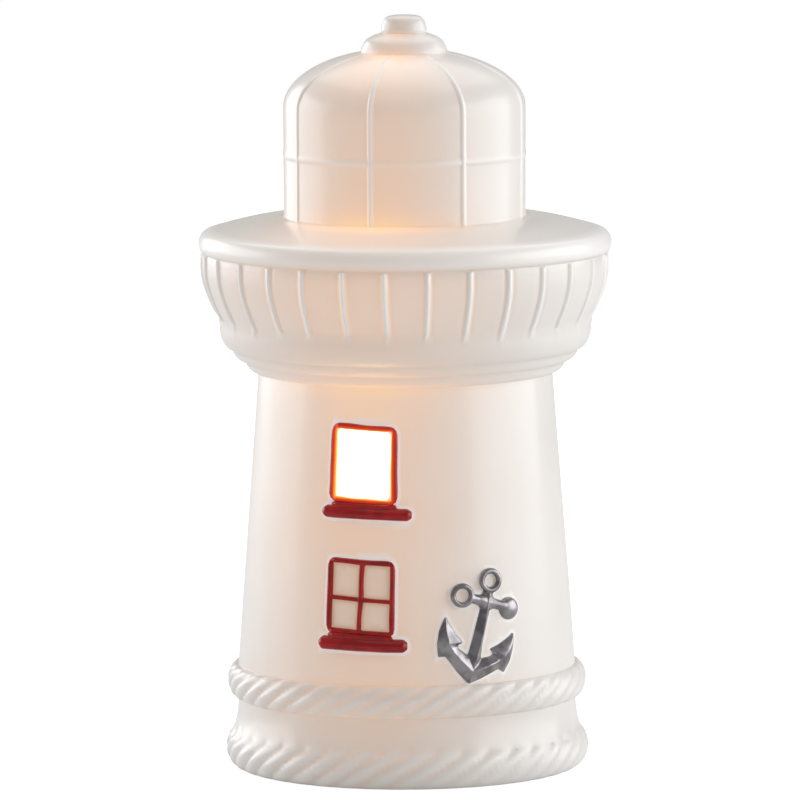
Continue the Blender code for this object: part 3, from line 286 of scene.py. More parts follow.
@dataclass
class Casting:
    """The one-piece porcelain body: its turned outline, its reliefs, its window and its cord notch."""

    wall: float = 4.0 * MM
    steps: int = 288
    foot_radius: float = 60.0 * MM
    neck_radius: float = 60.7 * MM
    neck_foot: float = 13.0 * MM
    upper_rope_foot: float = 25.3 * MM
    tower_foot: float = 36.8 * MM
    tower_top: float = 142.4 * MM
    tower_foot_radius: float = 60.6 * MM
    tower_top_radius: float = 52.7 * MM
    ring_height: float = 4.2 * MM
    band_radius: float = 66.6 * MM
    band_height: float = 11.2 * MM
    bowl_foot: float = 162.0 * MM
    bowl_top: float = 180.9 * MM
    bowl_radius: float = 72.5 * MM
    rim_radius: float = 74.0 * MM
    rim_height: float = 12.3 * MM
    deck_edge: float = 193.2 * MM
    lantern_foot: float = 198.0 * MM
    lantern_radius: float = 43.3 * MM
    bar_level: float = 220.6 * MM
    bar_relief: float = 0.50 * MM
    bar_half_width: float = 1.05 * MM
    bars: int = 8
    dome_foot: float = 237.5 * MM
    dome_height: float = 20.7 * MM
    finial_radius: float = 15.4 * MM
    knob_radius: float = 7.9 * MM
    knob_foot: float = 263.6 * MM
    top: float = 270.05 * MM
    recess: float = 16.0 * MM
    floor_top: float = 20.0 * MM
    hole_radius: float = 21.0 * MM
    notch: Point = (9.0 * MM, 8.0 * MM)
    opening: Point = (19.6 * MM, 23.6 * MM)
    rib_count: int = 30
    rib_phase: float = math.radians(-1.5)
    ropes: tuple[Rope, Rope] = field(init=False)
    ribs: list[Rib] = field(init=False)
    outside: list[Ring] = field(init=False)
    skin: list[Point] = field(init=False)

    def __post_init__(self) -> None:
        """Works out the ropes, ribs and outline from the sizes."""
        self.ropes = (
            Rope(self.foot_radius, 7.0 * MM, 4.7 * MM, 7.0 * MM, 55.0, 40),
            Rope(self.neck_radius, self.upper_rope_foot + 5.9 * MM, 3.3 * MM, 5.9 * MM, 78.0, 42))
        self.ribs = [self.make_rib(index) for index in range(self.rib_count)]
        self.outside = self.outside_rings()
        self.skin = sorted((ring.height, ring.radius) for ring in self.outside)

    def make_rib(self, index: int) -> Rib:
        """One rib of the row, with the unevenness of a hand-worked mould."""
        turn = self.rib_phase + math.tau * index / self.rib_count - 0.5 * math.pi
        return Rib(turn + math.radians(0.9) * waver(1.3, index, 0.83),
                   (1.15 + 0.22 * waver(2.9, index, 0.61)) * MM,
                   (0.92 + 0.18 * waver(4.7, index, 0.77)) * MM,
                   self.bowl_foot - (1.4 + 1.2 * waver(6.1, index, 0.91)) * MM,
                   math.radians(0.5) * waver(8.3, index, 0.57))

    def bowl(self, height: float) -> float:
        """Radius of the flaring bowl between its ribs."""
        share = min(1.0, (height - self.bowl_foot) / (self.bowl_top - self.bowl_foot))
        return self.band_radius + (self.bowl_radius - self.band_radius) * math.sin(0.5 * math.pi * share)

    def outside_rings(self) -> list[Ring]:
        """The skin's levels from the foot up to the knob's centre."""
        lower, upper = self.ropes
        rings = lower.rings(13)
        start = rings[-1]
        for index in range(1, 7):
            share = index / 6
            radius = self.neck_radius + (start.radius - self.neck_radius) * (1.0 - share) ** 2.2
            rings.append(Ring(radius, start.height + (self.upper_rope_foot - start.height) * share, Zone.PLAIN))
        rings += upper.rings(14)
        rings.append(Ring(self.tower_foot_radius, self.tower_foot, Zone.TOWER))
        rings += [Ring(*point, Zone.TOWER) for point in line(
            (self.tower_foot_radius, self.tower_foot), (self.tower_top_radius, self.tower_top), 42)]
        rings += [Ring(*point, Zone.PLAIN) for point in self.collar_points()]
        top = self.deck_edge - 0.68 * self.rim_height
        count = 13
        for index in range(count + 1):
            height = self.bowl_foot + (top - self.bowl_foot) * index / count
            rings.append(Ring(self.bowl(height), height, Zone.BOWL))
        rings += [Ring(*point, Zone.PLAIN) for point in self.rim_points(top)]
        rings += self.lantern_rings()
        dome = (0.0, self.dome_foot)
        high = math.degrees(math.acos(self.finial_radius / self.lantern_radius))
        rings += [Ring(*point, Zone.DOME) for point in
                  arc(dome, (self.lantern_radius, self.dome_height), 0.0, high, 17)[1:]]
        rings += [Ring(*point, Zone.PLAIN) for point in self.finial_points(rings[-1].height)]
        return rings

    def collar_points(self) -> list[Point]:
        """Two stepped beads and the rounded band over them."""
        step = (self.band_radius - self.tower_top_radius) / 3.0
        points: list[Point] = []
        for ring in range(2):
            middle = (self.tower_top_radius + ring * step, self.tower_top + (ring + 1) * self.ring_height)
            points += arc(middle, (step, self.ring_height), -84.0, -4.0, 5)
        points += arc((self.band_radius - step, self.bowl_foot - 0.3 * self.band_height),
                      (step, 0.7 * self.band_height), -78.0, 0.0, 7)
        return points

    def rim_points(self, low: float) -> list[Point]:
        """The groove over the ribs, the rounded lip, and the deck's slope up to the lantern."""
        groove = [(self.bowl_radius - 0.25 * MM, low + 0.5 * MM), (self.bowl_radius + 0.2 * MM, low + 0.9 * MM)]
        middle = (self.rim_radius - 0.31 * self.rim_height, self.deck_edge - 0.37 * self.rim_height)
        lip = arc(middle, (self.rim_radius - middle[0], 0.37 * self.rim_height), -38.0, 84.0, 10)
        edge = lip[-1]
        deck = []
        for index in range(1, 10):
            share = index / 9
            radius = edge[0] + (self.lantern_radius + 0.3 * MM - edge[0]) * share
            deck.append((radius, edge[1] + (self.lantern_foot - edge[1]) * math.sin(0.5 * math.pi * share)))
        return groove + lip + deck

    def lantern_rings(self) -> list[Ring]:
        """The drum's levels, close together at its foot and at its level bar."""
        fine = 2.0 * self.bar_half_width
        levels = [self.lantern_foot + step for step in (0.4 * MM, 1.1 * MM, 2.2 * MM)]
        levels += [point[1] for point in line((0.0, levels[-1]), (0.0, self.bar_level - fine), 6)]
        levels += [point[1] for point in line((0.0, self.bar_level - fine), (0.0, self.bar_level + fine), 10)]
        levels += [point[1] for point in line((0.0, self.bar_level + fine), (0.0, self.dome_foot), 5)]
        return [Ring(self.lantern_radius, level, Zone.LANTERN) for level in levels]

    def finial_points(self, foot: float) -> list[Point]:
        """The finial's bell, the knob on it and the knob's rounded top."""
        wide, rise = self.finial_radius, self.knob_foot - foot
        bell = [(1.0, 0.02), (1.0, 0.12), (0.985, 0.25), (0.95, 0.38), (0.93, 0.50), (0.89, 0.62), (0.83, 0.73),
                (0.75, 0.83), (0.67, 0.91), (0.59, 0.97)]
        points = [(wide * radius, foot + rise * share) for radius, share in bell]
        knob = self.top - self.knob_foot
        cap = [(1.0, 0.05), (1.03, 0.16), (1.02, 0.32), (0.985, 0.48), (0.95, 0.62), (0.90, 0.75), (0.82, 0.86),
               (0.70, 0.94), (0.52, 0.985), (0.28, 1.0)]
        points += [(self.knob_radius * radius, self.knob_foot + knob * share) for radius, share in cap]
        return points + [(0.0, self.top)]

    def inside_rings(self) -> list[Ring]:
        """The inner skin's levels, from the foot ring up round the floor to the dome's centre."""
        inner = self.neck_radius - self.wall
        fillet = 0.4 * self.wall
        points = [(self.foot_radius - 2.0 * self.wall, 0.0), (inner, self.recess - fillet),
                  (inner - 0.3 * fillet, self.recess - 0.3 * fillet), (inner - fillet, self.recess)]
        edge = 0.12 * self.wall
        points += [(self.hole_radius + edge, self.recess), (self.hole_radius, self.recess + edge),
                   (self.hole_radius, self.floor_top - edge), (self.hole_radius + edge, self.floor_top)]
        points += [(inner - fillet, self.floor_top), (inner - 0.3 * fillet, self.floor_top + 0.3 * fillet),
                   (inner, self.floor_top + fillet), (self.tower_foot_radius - self.wall, self.tower_foot)]
        points += line(points[-1], (self.tower_top_radius - self.wall, self.tower_top + self.wall), 12)
        points += [(self.band_radius - 1.3 * self.wall, self.tower_top + 2.0 * self.ring_height + self.wall)]
        points += [(self.bowl(level) - self.wall, level) for level in
                   (self.bowl_foot, self.bowl_foot + 6.0 * MM, self.bowl_foot + 12.0 * MM, self.bowl_top)]
        points += [(self.rim_radius - self.wall, self.deck_edge - 0.6 * self.rim_height),
                   (self.rim_radius - 0.6 * self.rim_height, self.deck_edge - self.wall),
                   (self.lantern_radius - self.wall, self.lantern_foot - self.wall)]
        points += arc((0.0, self.dome_foot), (self.lantern_radius - self.wall, self.dome_height - self.wall),
                      0.0, 90.0, 6)
        points[-1] = (0.0, points[-1][1])
        return [Ring(*point, Zone.INSIDE) for point in points]

    def outer_radius(self, height: float) -> float:
        """Radius of the plain skin at a height."""
        return between(self.skin, height)

    def bar_turn(self, turn: float) -> float:
        """Angle from a place on the lantern to its nearest upright bar."""
        pitch = math.tau / self.bars
        return (turn + 0.5 * math.pi + 0.5 * pitch) % pitch - 0.5 * pitch

    def nearest_rib(self, turn: float, height: float) -> tuple[Rib, float]:
        """The rib nearest to a place on the bowl, and the angle to it."""
        pitch = math.tau / self.rib_count
        index = round((turn + 0.5 * math.pi - self.rib_phase) / pitch) % self.rib_count
        rib = self.ribs[index]
        share = (height - self.bowl_foot) / (self.bowl_top - self.bowl_foot)
        away = turn - rib.turn - rib.lean * (share - 0.5)
        return rib, (away + math.pi) % math.tau - math.pi

    def bowl_relief(self, turn: float, radius: float, height: float) -> float:
        """A rib's swell: a rounded crest between two shallow gutters, tapering away at its foot."""
        rib, away = self.nearest_rib(turn, height)
        reach = abs(away) * radius / rib.half_width
        crest = max(0.0, 1.0 - reach * reach) ** 1.3
        gutter = 0.16 * math.exp(-((reach - 1.45) / 0.5) ** 2)
        along = smoothstep(rib.foot - 0.8 * MM, rib.foot + 3.2 * MM, height)
        return rib.relief * along * (crest - gutter)

    def lantern_relief(self, turn: float, radius: float, height: float, zone: Zone) -> float:
        """The glazing bars' swell on the drum, and their fading runs up the dome."""
        reach = abs(self.bar_turn(turn)) * radius / self.bar_half_width
        upright = max(0.0, 1.0 - (reach / 1.15) ** 2) ** 1.4
        if zone is Zone.DOME:
            share = (height - self.dome_foot) / (self.dome_height * 0.93)
            return self.bar_relief * upright * (1.0 - 0.75 * smoothstep(0.35, 1.0, share))
        level = max(0.0, 1.0 - ((height - self.bar_level) / (1.35 * self.bar_half_width)) ** 2) ** 1.4
        level *= 0.55 + 0.2 * waver(3.3, turn, 2.0)
        return self.bar_relief * max(upright, level)

    def refine(self, bm: bmesh.types.BMesh, zones: tuple[Zone, ...], cuts: int,
               test: Callable[[float, float, float], bool]) -> None:
        """Divides the level edges of some zones where a relief needs it.

        Args:
            bm: the casting's mesh, still plain.
            zones: the zones to look at.
            cuts: how many cuts each such edge takes.
            test: says, from an angle, radius and height, whether the relief passes there.
        """
        zone_of = bm.verts.layers.int["zone"]
        values = {zone.value for zone in zones}
        edges = []
        for edge in bm.edges:
            first, second = edge.verts
            if first[zone_of] not in values or second[zone_of] not in values:
                continue
            if abs(first.co.z - second.co.z) > 1e-7 or first.co.xy.length < 1e-5:
                continue
            middle = 0.5 * (first.co + second.co)
            if test(math.atan2(middle.y, middle.x), first.co.xy.length, middle.z):
                edges.append(edge)
        bmesh.ops.subdivide_edges(bm, edges=edges, cuts=cuts, use_grid_fill=True)
        self.round_up(bm)

    def round_up(self, bm: bmesh.types.BMesh) -> None:
        """Puts every vertex back on its own ring's radius."""
        radius_of = bm.verts.layers.float["radius"]
        for vert in bm.verts:
            flat = vert.co.xy.length
            if flat > 1e-6:
                scale = vert[radius_of] / flat
                vert.co.x *= scale
                vert.co.y *= scale

    def turned(self) -> bmesh.types.BMesh:
        """The plain turned body, each vertex knowing its zone, radius and place across its rope."""
        rings = list(reversed(self.outside)) + self.inside_rings()
        bm = bmesh.new()
        zone_of = bm.verts.layers.int.new("zone")
        radius_of = bm.verts.layers.float.new("radius")
        across_of = bm.verts.layers.float.new("across")
        verts = []
        for ring in rings:
            vert = bm.verts.new((ring.radius, 0.0, ring.height))
            vert[zone_of], vert[radius_of], vert[across_of] = ring.zone.value, ring.radius, ring.across
            verts.append(vert)
        edges = [bm.edges.new(pair) for pair in zip(verts, verts[1:])]
        bmesh.ops.spin(bm, geom=verts + edges, cent=(0, 0, 0), axis=(0, 0, 1), dvec=(0, 0, 0),
                       angle=math.tau, steps=self.steps, use_merge=True, use_duplicate=False)
        bmesh.ops.remove_doubles(bm, verts=bm.verts, dist=1e-7)
        bmesh.ops.recalc_face_normals(bm, faces=bm.faces)
        return bm

    def build(self, sprigs: "Sprigs") -> bmesh.types.BMesh:
        """The finished body.

        Args:
            sprigs: the reliefs on the tower, round which the skin is made finer.

        Returns:
            The mesh, with its painted glow, inside, painted highlight and pane attributes.
        """
        bm = self.turned()
        near_rib = 3.0 * MM
        self.refine(bm, (Zone.ROPE,), 1, lambda turn, radius, height: True)
        self.refine(bm, (Zone.BOWL,), 3,
                    lambda turn, radius, height: abs(self.nearest_rib(turn, height)[1]) * radius < near_rib)
        self.refine(bm, (Zone.LANTERN, Zone.DOME), 3,
                    lambda turn, radius, height: abs(self.bar_turn(turn)) * radius < 2.4 * self.bar_half_width)
        self.refine_round(bm, sprigs)
        self.emboss(bm)
        bm = self.cut_openings(bm, sprigs)
        self.mark(bm, sprigs)
        return bm

    def refine_round(self, bm: bmesh.types.BMesh, sprigs: "Sprigs") -> None:
        """Divides the tower's skin along the edges of the sprigs."""
        zone_of = bm.verts.layers.int["zone"]
        reach = 3.0 * MM
        close = set()
        for vert in bm.verts:
            if vert[zone_of] == Zone.TOWER.value and vert.co.y < -0.02 and sprigs.distance(vert.co) < reach:
                close.add(vert)
        edges = [edge for edge in bm.edges if edge.verts[0] in close and edge.verts[1] in close]
        bmesh.ops.subdivide_edges(bm, edges=edges, cuts=3, use_grid_fill=True)
        self.round_up(bm)

    def emboss(self, bm: bmesh.types.BMesh) -> None:
        """Raises the ropes, ribs and bars, and gives the whole skin a slip-cast unevenness."""
        zone_of = bm.verts.layers.int["zone"]
        across_of = bm.verts.layers.float["across"]
        for vert in bm.verts:
            zone = Zone(vert[zone_of])
            radius = vert.co.xy.length
            if zone is Zone.INSIDE or radius < 1e-4:
                continue
            turn, height = math.atan2(vert.co.y, vert.co.x), vert.co.z
            rise, climb = 0.0, 0.0
            if zone is Zone.ROPE:
                rope = self.ropes[0] if height < self.upper_rope_foot - 1.0 * MM else self.ropes[1]
                rise = rope.relief(turn, vert[across_of])
                climb = 0.35 * rise * (2.0 * vert[across_of] - 1.0) if height > 1.5 * MM else 0.0
            elif zone is Zone.BOWL:
                rise = self.bowl_relief(turn, radius, height)
            elif zone in (Zone.LANTERN, Zone.DOME):
                rise = self.lantern_relief(turn, radius, height, zone)
                climb = 0.7 * rise if zone is Zone.DOME else 0.0
            if height > 2.0 * MM:
                rise += 0.10 * MM * noise.noise(vert.co * 38.0)
            scale = (radius + rise) / radius
            vert.co = (vert.co.x * scale, vert.co.y * scale, height + climb)

    def cut_openings(self, bm: bmesh.types.BMesh, sprigs: "Sprigs") -> bmesh.types.BMesh:
        """Cuts the upper window through the wall and the cord's notch through the foot ring."""
        window = bmesh.new()
        outline = rounded_outline(self.opening[0], self.opening[1], 1.5 * MM, 5)
        verts = [window.verts.new((x, 0.0, z)) for x, z in outline]
        window.faces.new(verts)
        deep = bmesh.ops.extrude_face_region(window, geom=window.faces[:])["geom"]
        bmesh.ops.translate(window, vec=(0.0, 0.034, 0.0),
                            verts=[item for item in deep if isinstance(item, bmesh.types.BMVert)])
        sprigs.upper.skew(window)
        bmesh.ops.translate(window, vec=(0.0, -0.072, sprigs.upper.level), verts=window.verts)
        width, height = self.notch
        notch = bmesh.new()
        path = [(-0.5 * width, -5.0 * MM)] + list(reversed(
            arc((0.0, height - 0.5 * width), (0.5 * width, 0.5 * width), 0.0, 180.0, 12)))
        path.append((0.5 * width, -5.0 * MM))
        notch.faces.new([notch.verts.new((x, 0.045, z)) for x, z in path])
        deep = bmesh.ops.extrude_face_region(notch, geom=notch.faces[:])["geom"]
        bmesh.ops.translate(notch, vec=(0.0, 0.025, 0.0),
                            verts=[item for item in deep if isinstance(item, bmesh.types.BMVert)])
        for cutter_mesh in (window, notch):
            bmesh.ops.recalc_face_normals(cutter_mesh, faces=cutter_mesh.faces)
            mesh = bpy.data.meshes.new("cutter")
            cutter_mesh.to_mesh(mesh)
            cutter_mesh.free()
            cutter = bpy.data.objects.new("cutter", mesh)
            bpy.context.scene.collection.objects.link(cutter)

            def dress(worker: bpy.types.Object, tool: bpy.types.Object = cutter) -> None:
                """Adds the cut."""
                cut = worker.modifiers.new("cut", "BOOLEAN")
                cut.operation, cut.solver, cut.object = "DIFFERENCE", "EXACT", tool

            bm = evaluated(bm, dress)
            bpy.data.objects.remove(cutter)
            bpy.data.meshes.remove(mesh)
        return bm

    def glow(self, place: Vector, radius: float) -> float:
        """A painted glow: how strongly the outer skin emits at a place, standing in for the lamp's light coming
        through it, given by height and by the angle from the windows' side.

        Args:
            place: a point of the skin.
            radius: its distance from the axis.

        Returns:
            1 on the tower's front halfway up; more in the creases, less on raised ribs, bars and rope strands,
            and less away from the windows' side.
        """
        height = place.z
        knots = [(0.0, 0.14), (6.0 * MM, 0.36), (self.neck_foot, 0.62), (20.0 * MM, 0.80),
                 (self.upper_rope_foot, 0.84), (33.0 * MM, 0.62), (self.tower_foot, 0.80), (60.0 * MM, 0.86),
                 (95.0 * MM, 1.0), (125.0 * MM, 1.05), (self.tower_top - 5.0 * MM, 1.16),
                 (self.tower_top - 1.0 * MM, 1.36), (self.tower_top + 3.0 * MM, 0.80),
                 (self.tower_top + self.ring_height, 0.92), (self.tower_top + 1.8 * self.ring_height, 0.66),
                 (self.bowl_foot - 3.0 * MM, 0.60), (self.bowl_foot + 2.0 * MM, 0.80), (self.bowl_top, 0.96),
                 (self.deck_edge - 0.7 * self.rim_height, 0.62), (self.deck_edge - 2.0 * MM, 0.42),
                 (self.deck_edge, 0.66), (self.lantern_foot - 1.2 * MM, 0.86), (self.lantern_foot, 1.55),
                 (self.lantern_foot + 3.0 * MM, 1.12), (self.lantern_foot + 9.0 * MM, 0.96),
                 (self.dome_foot - 4.0 * MM, 0.84), (self.dome_foot + 4.0 * MM, 0.74),
                 (self.dome_foot + 12.0 * MM, 0.90), (self.knob_foot - 9.6 * MM, 1.05),
                 (self.knob_foot - 7.2 * MM, 1.30), (self.knob_foot - 4.6 * MM, 0.72),
                 (self.knob_foot - 1.1 * MM, 0.66), (self.knob_foot, 0.95), (self.knob_foot + 1.4 * MM, 0.50),
                 (self.knob_foot + 6.4 * MM, 0.30)]
        # painted glow: emission strength given by height, stronger in the creases and under the tower's top
        value = between(knots, height)
        # the painted glow fades away from the windows' side
        turn = math.atan2(place.y, place.x)
        front = abs((turn + 0.5 * math.pi + math.pi) % math.tau - math.pi)
        value *= 0.09 + 0.91 * math.exp(-(front / math.radians(40.0)) ** 2)
        # painted glow weaker on raised crests, stronger in the gutters and rope valleys
        proud = radius - self.outer_radius(height)
        if self.bowl_foot - 3.0 * MM < height < self.deck_edge - 0.6 * self.rim_height:
            value *= (1.0 - 0.80 * smoothstep(0.12 * MM, 0.7 * MM, proud)
                      + 0.35 * smoothstep(0.0, -0.2 * MM, proud))
        elif height > self.lantern_foot:
            value *= 1.0 - 0.62 * smoothstep(0.1 * MM, 0.55 * MM, proud)
        elif height < self.tower_foot:
            value *= 1.12 - 0.62 * smoothstep(-0.8 * MM, 0.5 * MM, proud)
        return value

    def crest(self, height: float, radius: float) -> float:
        """How strong the painted highlight is on a raised place: a whiter base colour and a white emission on
        the crests of the ribs and glazing bars, on the lip and on the rope strands.
        """
        proud = radius - self.outer_radius(height)
        if self.bowl_foot - 3.0 * MM < height < self.deck_edge - 0.6 * self.rim_height:
            return 0.42 * smoothstep(0.1 * MM, 0.6 * MM, proud)
        if self.deck_edge - 0.6 * self.rim_height <= height < self.deck_edge + 0.2 * MM:
            return 0.32 * smoothstep(0.62 * self.rim_height, 0.45 * self.rim_height, self.deck_edge - height)
        if height > self.lantern_foot:
            return 0.30 * smoothstep(0.1 * MM, 0.4 * MM, proud)
        return 0.16 * smoothstep(0.0, 0.5 * MM, proud) if height < self.tower_foot - 1.0 * MM else 0.0

    def mark(self, bm: bmesh.types.BMesh, sprigs: "Sprigs") -> None:
        """Writes each vertex's painted glow, and where the skin is inside, carries the painted highlight, or is
        a blind pane.
        """
        layers = {name: bm.verts.layers.float.new(name) for name in ("glow", "inside", "painted_highlight", "pane")}
        for vert in bm.verts:
            radius = vert.co.xy.length
            depth = self.outer_radius(vert.co.z) - radius
            inside = smoothstep(1.3 * MM, 3.2 * MM, depth)
            over_floor = smoothstep(self.floor_top - 1.0 * MM, self.floor_top + 6.0 * MM, vert.co.z)
            vert[layers["inside"]] = inside * over_floor
            buried = vert.co.z < self.floor_top + 1.0 * MM and inside > 0.5
            # painted glow on the outer skin; none on the buried floor
            vert[layers["glow"]] = 0.0 if buried else self.glow(vert.co, radius)
            # painted highlight on raised crests and the lip; beside the sprigs on the tower, below
            vert[layers["painted_highlight"]] = 0.0 if inside > 0.1 else self.crest(vert.co.z, radius)
            on_tower = self.tower_foot - 4.0 * MM < vert.co.z < self.tower_top and vert.co.y < -0.02
            if on_tower and inside < 0.5:
                away = sprigs.distance(vert.co)
                # painted highlight on the bare glaze beside the sprigs
                vert[layers["painted_highlight"]] = sprigs.painted_highlight(vert.co) * smoothstep(1.55 * MM, 0.45 * MM, away)
                vert[layers["pane"]] = sprigs.in_pane(vert.co)
                # painted glow a little stronger round the open window
                near = smoothstep(11.0 * MM, 1.5 * MM, sprigs.window_distance(vert.co))
                vert[layers["glow"]] *= 1.0 + 0.12 * near


# ---------------------------------------------------------------- sprigs: frames, sills and the anchor
def rounded_outline(width: float, height: float, corner: float, steps: int) -> list[Point]:
    """A rectangle with rounded corners, about its middle.

    Args:
        width: its full width.
        height: its full height.
        corner: the corners' radius.
        steps: how many stretches round each corner.

    Returns:
        The points, anticlockwise.
    """
    points: list[Point] = []
    for index, (side, rise) in enumerate(((1, 1), (-1, 1), (-1, -1), (1, -1))):
        middle = (side * (0.5 * width - corner), rise * (0.5 * height - corner))
        points += arc(middle, (corner, corner), 90.0 * index, 90.0 * (index + 1), steps)
    return points


class Section(Enum):
    """How a modelled strip is shaped across: rounded over, or with a ridge between two facets."""

    ROUND = "round"
    RIDGE = "ridge"


@dataclass(frozen=True)
class Station:
    """A place along a strip, flat on the wall: its two edges, its crest, and the crest's height."""

    left: Point
    crest: Point
    right: Point
    rise: float
    edge: float = 0.45 * MM


@dataclass
class Strips:
    """Strips of clay laid on a flat wall, joined and softened as the glaze joins them."""

    sink: float = 0.7 * MM
    bm: bmesh.types.BMesh = field(default_factory=bmesh.new)

    def section(self, station: Station, kind: Section) -> list[Vector]:
        """Points across a strip: along the wall, over the crest and back below the wall's surface."""
        left, crest, right = (Vector((p[0], 0.0, p[1])) for p in (station.left, station.crest, station.right))
        low = Vector((0.0, self.sink, 0.0))
        if kind is Section.RIDGE:
            edge = Vector((0.0, -station.edge, 0.0))
            shoulder = Vector((0.0, -0.62 * station.rise - 0.38 * station.edge, 0.0))
            return [left + low, left + edge, left.lerp(crest, 0.55) + shoulder,
                    crest + Vector((0.0, -station.rise, 0.0)), right.lerp(crest, 0.55) + shoulder,
                    right + edge, right + low]
        points = [left + low]
        for index in range(7):
            angle = math.pi * (index + 0.35) / 6.7
            share = 0.5 - 0.5 * math.cos(angle)
            side = left.lerp(crest, 2.0 * share) if share < 0.5 else crest.lerp(right, 2.0 * share - 1.0)
            points.append(side + Vector((0.0, -station.rise * math.sin(angle) ** 0.75, 0.0)))
        return points + [right + low]

    def strip(self, stations: list[Station], kind: Section) -> None:
        """Sweeps a section through its stations.

        Args:
            stations: the places along the strip, in order.
            kind: the section's shape.
        """
        rows = [self.section(station, kind) for station in stations]
        ring = bmesh.ops.create_circle(self.bm, cap_ends=True, segments=len(rows[0]), radius=MM)["verts"]
        for vert, place in zip(ring, rows[0]):
            vert.co = place
        face = ring[0].link_faces[0]
        order = [loop.vert for loop in face.loops]
        places = [ring.index(vert) for vert in order]
        for row in rows[1:]:
            result = bmesh.ops.extrude_discrete_faces(self.bm, faces=[face])
            new_face = result["faces"][0]
            for loop, index in zip(new_face.loops, places):
                loop.vert.co = row[index]
            face = new_face
        bmesh.ops.holes_fill(self.bm, edges=[edge for edge in self.bm.edges if edge.is_boundary], sides=0)

    def bar(self, path: list[Point], half_width: float, rise: float, seed: float, uneven: float = 0.16) -> None:
        """A rounded bar along a path, a little uneven in width, height and line.

        Args:
            path: the bar's middle line.
            half_width: half its width.
            rise: its height off the wall.
            seed: picks its own unevenness.
            uneven: how strong that is.
        """
        stations = []
        for index, place in enumerate(path):
            after, before = path[min(index + 1, len(path) - 1)], path[max(index - 1, 0)]
            along = Vector((after[0] - before[0], after[1] - before[1])).normalized()
            across = Vector((-along.y, along.x))
            length = index / max(len(path) - 1, 1)
            half = half_width * (1.0 + uneven * waver(seed, length, 3.7))
            shift = across * half_width * uneven * 1.3 * waver(seed + 0.7, length, 2.9)
            middle = Vector(place) + shift
            ends = min(1.0, 0.55 + 0.45 * min(index, len(path) - 1 - index))
            stations.append(Station(tuple(middle + across * half * ends), tuple(middle),
                                    tuple(middle - across * half * ends),
                                    rise * ends * (1.0 + 0.10 * waver(seed + 1.9, length, 4.1))))
        self.strip(stations, Section.ROUND)

    def ring(self, centre: Point, outer: float, inner: float, rise: float) -> None:
        """An eye: a rounded ring lying on the wall."""
        middle, half = 0.5 * (outer + inner), 0.5 * (outer - inner)
        places = arc((0.0, 0.0), (half, 1.0), 0.0, 360.0, 12)[:-1]
        verts = [self.bm.verts.new((middle + x, -0.45 * rise - 0.55 * rise * side, 0.0)) for x, side in places]
        edges = [self.bm.edges.new(pair) for pair in zip(verts, verts[1:] + verts[:1])]
        bmesh.ops.spin(self.bm, geom=verts + edges, cent=(0, 0, 0), axis=(0, 1, 0), dvec=(0, 0, 0),
                       angle=math.tau, steps=28, use_merge=True, use_duplicate=False)
        found = set(verts)
        stack = list(verts)
        while stack:
            for edge in stack.pop().link_edges:
                for vert in edge.verts:
                    if vert not in found:
                        found.add(vert)
                        stack.append(vert)
        bmesh.ops.translate(self.bm, vec=(centre[0], 0.0, centre[1]), verts=list(found))

    def boss(self, centre: Point, radius: float, rise: float) -> None:
        """A domed disc."""
        place = Matrix.Translation((centre[0], 0.0, centre[1]))
        shape = Matrix.Diagonal((radius, rise, radius, 1.0))
        bmesh.ops.create_uvsphere(self.bm, u_segments=28, v_segments=16, radius=1.0, matrix=place @ shape)

    def fused(self, grain: float, rounds: int) -> bmesh.types.BMesh:
        """Joins the strips into one skin and softens it.

        Args:
            grain: the skin's mesh size.
            rounds: how many times it is smoothed.

        Returns:
            The joined mesh, still flat.
        """
        bmesh.ops.recalc_face_normals(self.bm, faces=self.bm.faces)

        def dress(worker: bpy.types.Object) -> None:
            """Adds the remesh."""
            remesh = worker.modifiers.new("join", "REMESH")
            remesh.mode, remesh.voxel_size, remesh.adaptivity = "VOXEL", grain, 0.0

        joined = evaluated(self.bm, dress)
        for _ in range(rounds):
            bmesh.ops.smooth_vert(joined, verts=joined.verts, factor=0.5,
                                  use_axis_x=True, use_axis_y=True, use_axis_z=True)
        return joined


@dataclass
class Window:
    """One window's frame and sill, hand-cut and therefore a little out of square."""

    name: str
    glass: Point            # the opening or the panes, across and up
    side_bar: float         # half the width of the upright bars
    level_bar: float        # and of the level ones
    drop: float             # how far its middle sits under the middle of its node
    shift: float
    sill_shift: Point
    sill_half: float
    seed: float
    panes: bool = False
    lean: float = math.radians(0.6)
    slope: float = math.radians(2.8)
    level: float = field(init=False)

    def __post_init__(self) -> None:
        """Reads its height from the frame."""
        low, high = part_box(self.name + "_window_frame")
        self.level = 0.5 * (low.z + high.z) - self.drop

    def skew(self, bm: bmesh.types.BMesh, slope: float | None = None) -> None:
        """Leans the uprights and slopes the levels of a flat mesh."""
        slope = self.slope if slope is None else slope
        for vert in bm.verts:
            x, z = vert.co.x, vert.co.z
            vert.co.x = x * math.cos(slope) + z * math.sin(self.lean)
            vert.co.z = z * math.cos(self.lean) - x * math.sin(slope)

    def flat(self, place: Vector, around: float) -> Point:
        """A place on the tower in the window's own square measure.

        Args:
            place: the point.
            around: the tower's radius there.

        Returns:
            Its distances across and up from the window's middle.
        """
        x = around * math.atan2(place.x, -place.y) - self.shift
        z = place.z - self.level
        whole = math.cos(self.lean) * math.cos(self.slope) + math.sin(self.lean) * math.sin(self.slope)
        return ((x * math.cos(self.lean) - z * math.sin(self.lean)) / whole,
                (z * math.cos(self.slope) + x * math.sin(self.slope)) / whole)


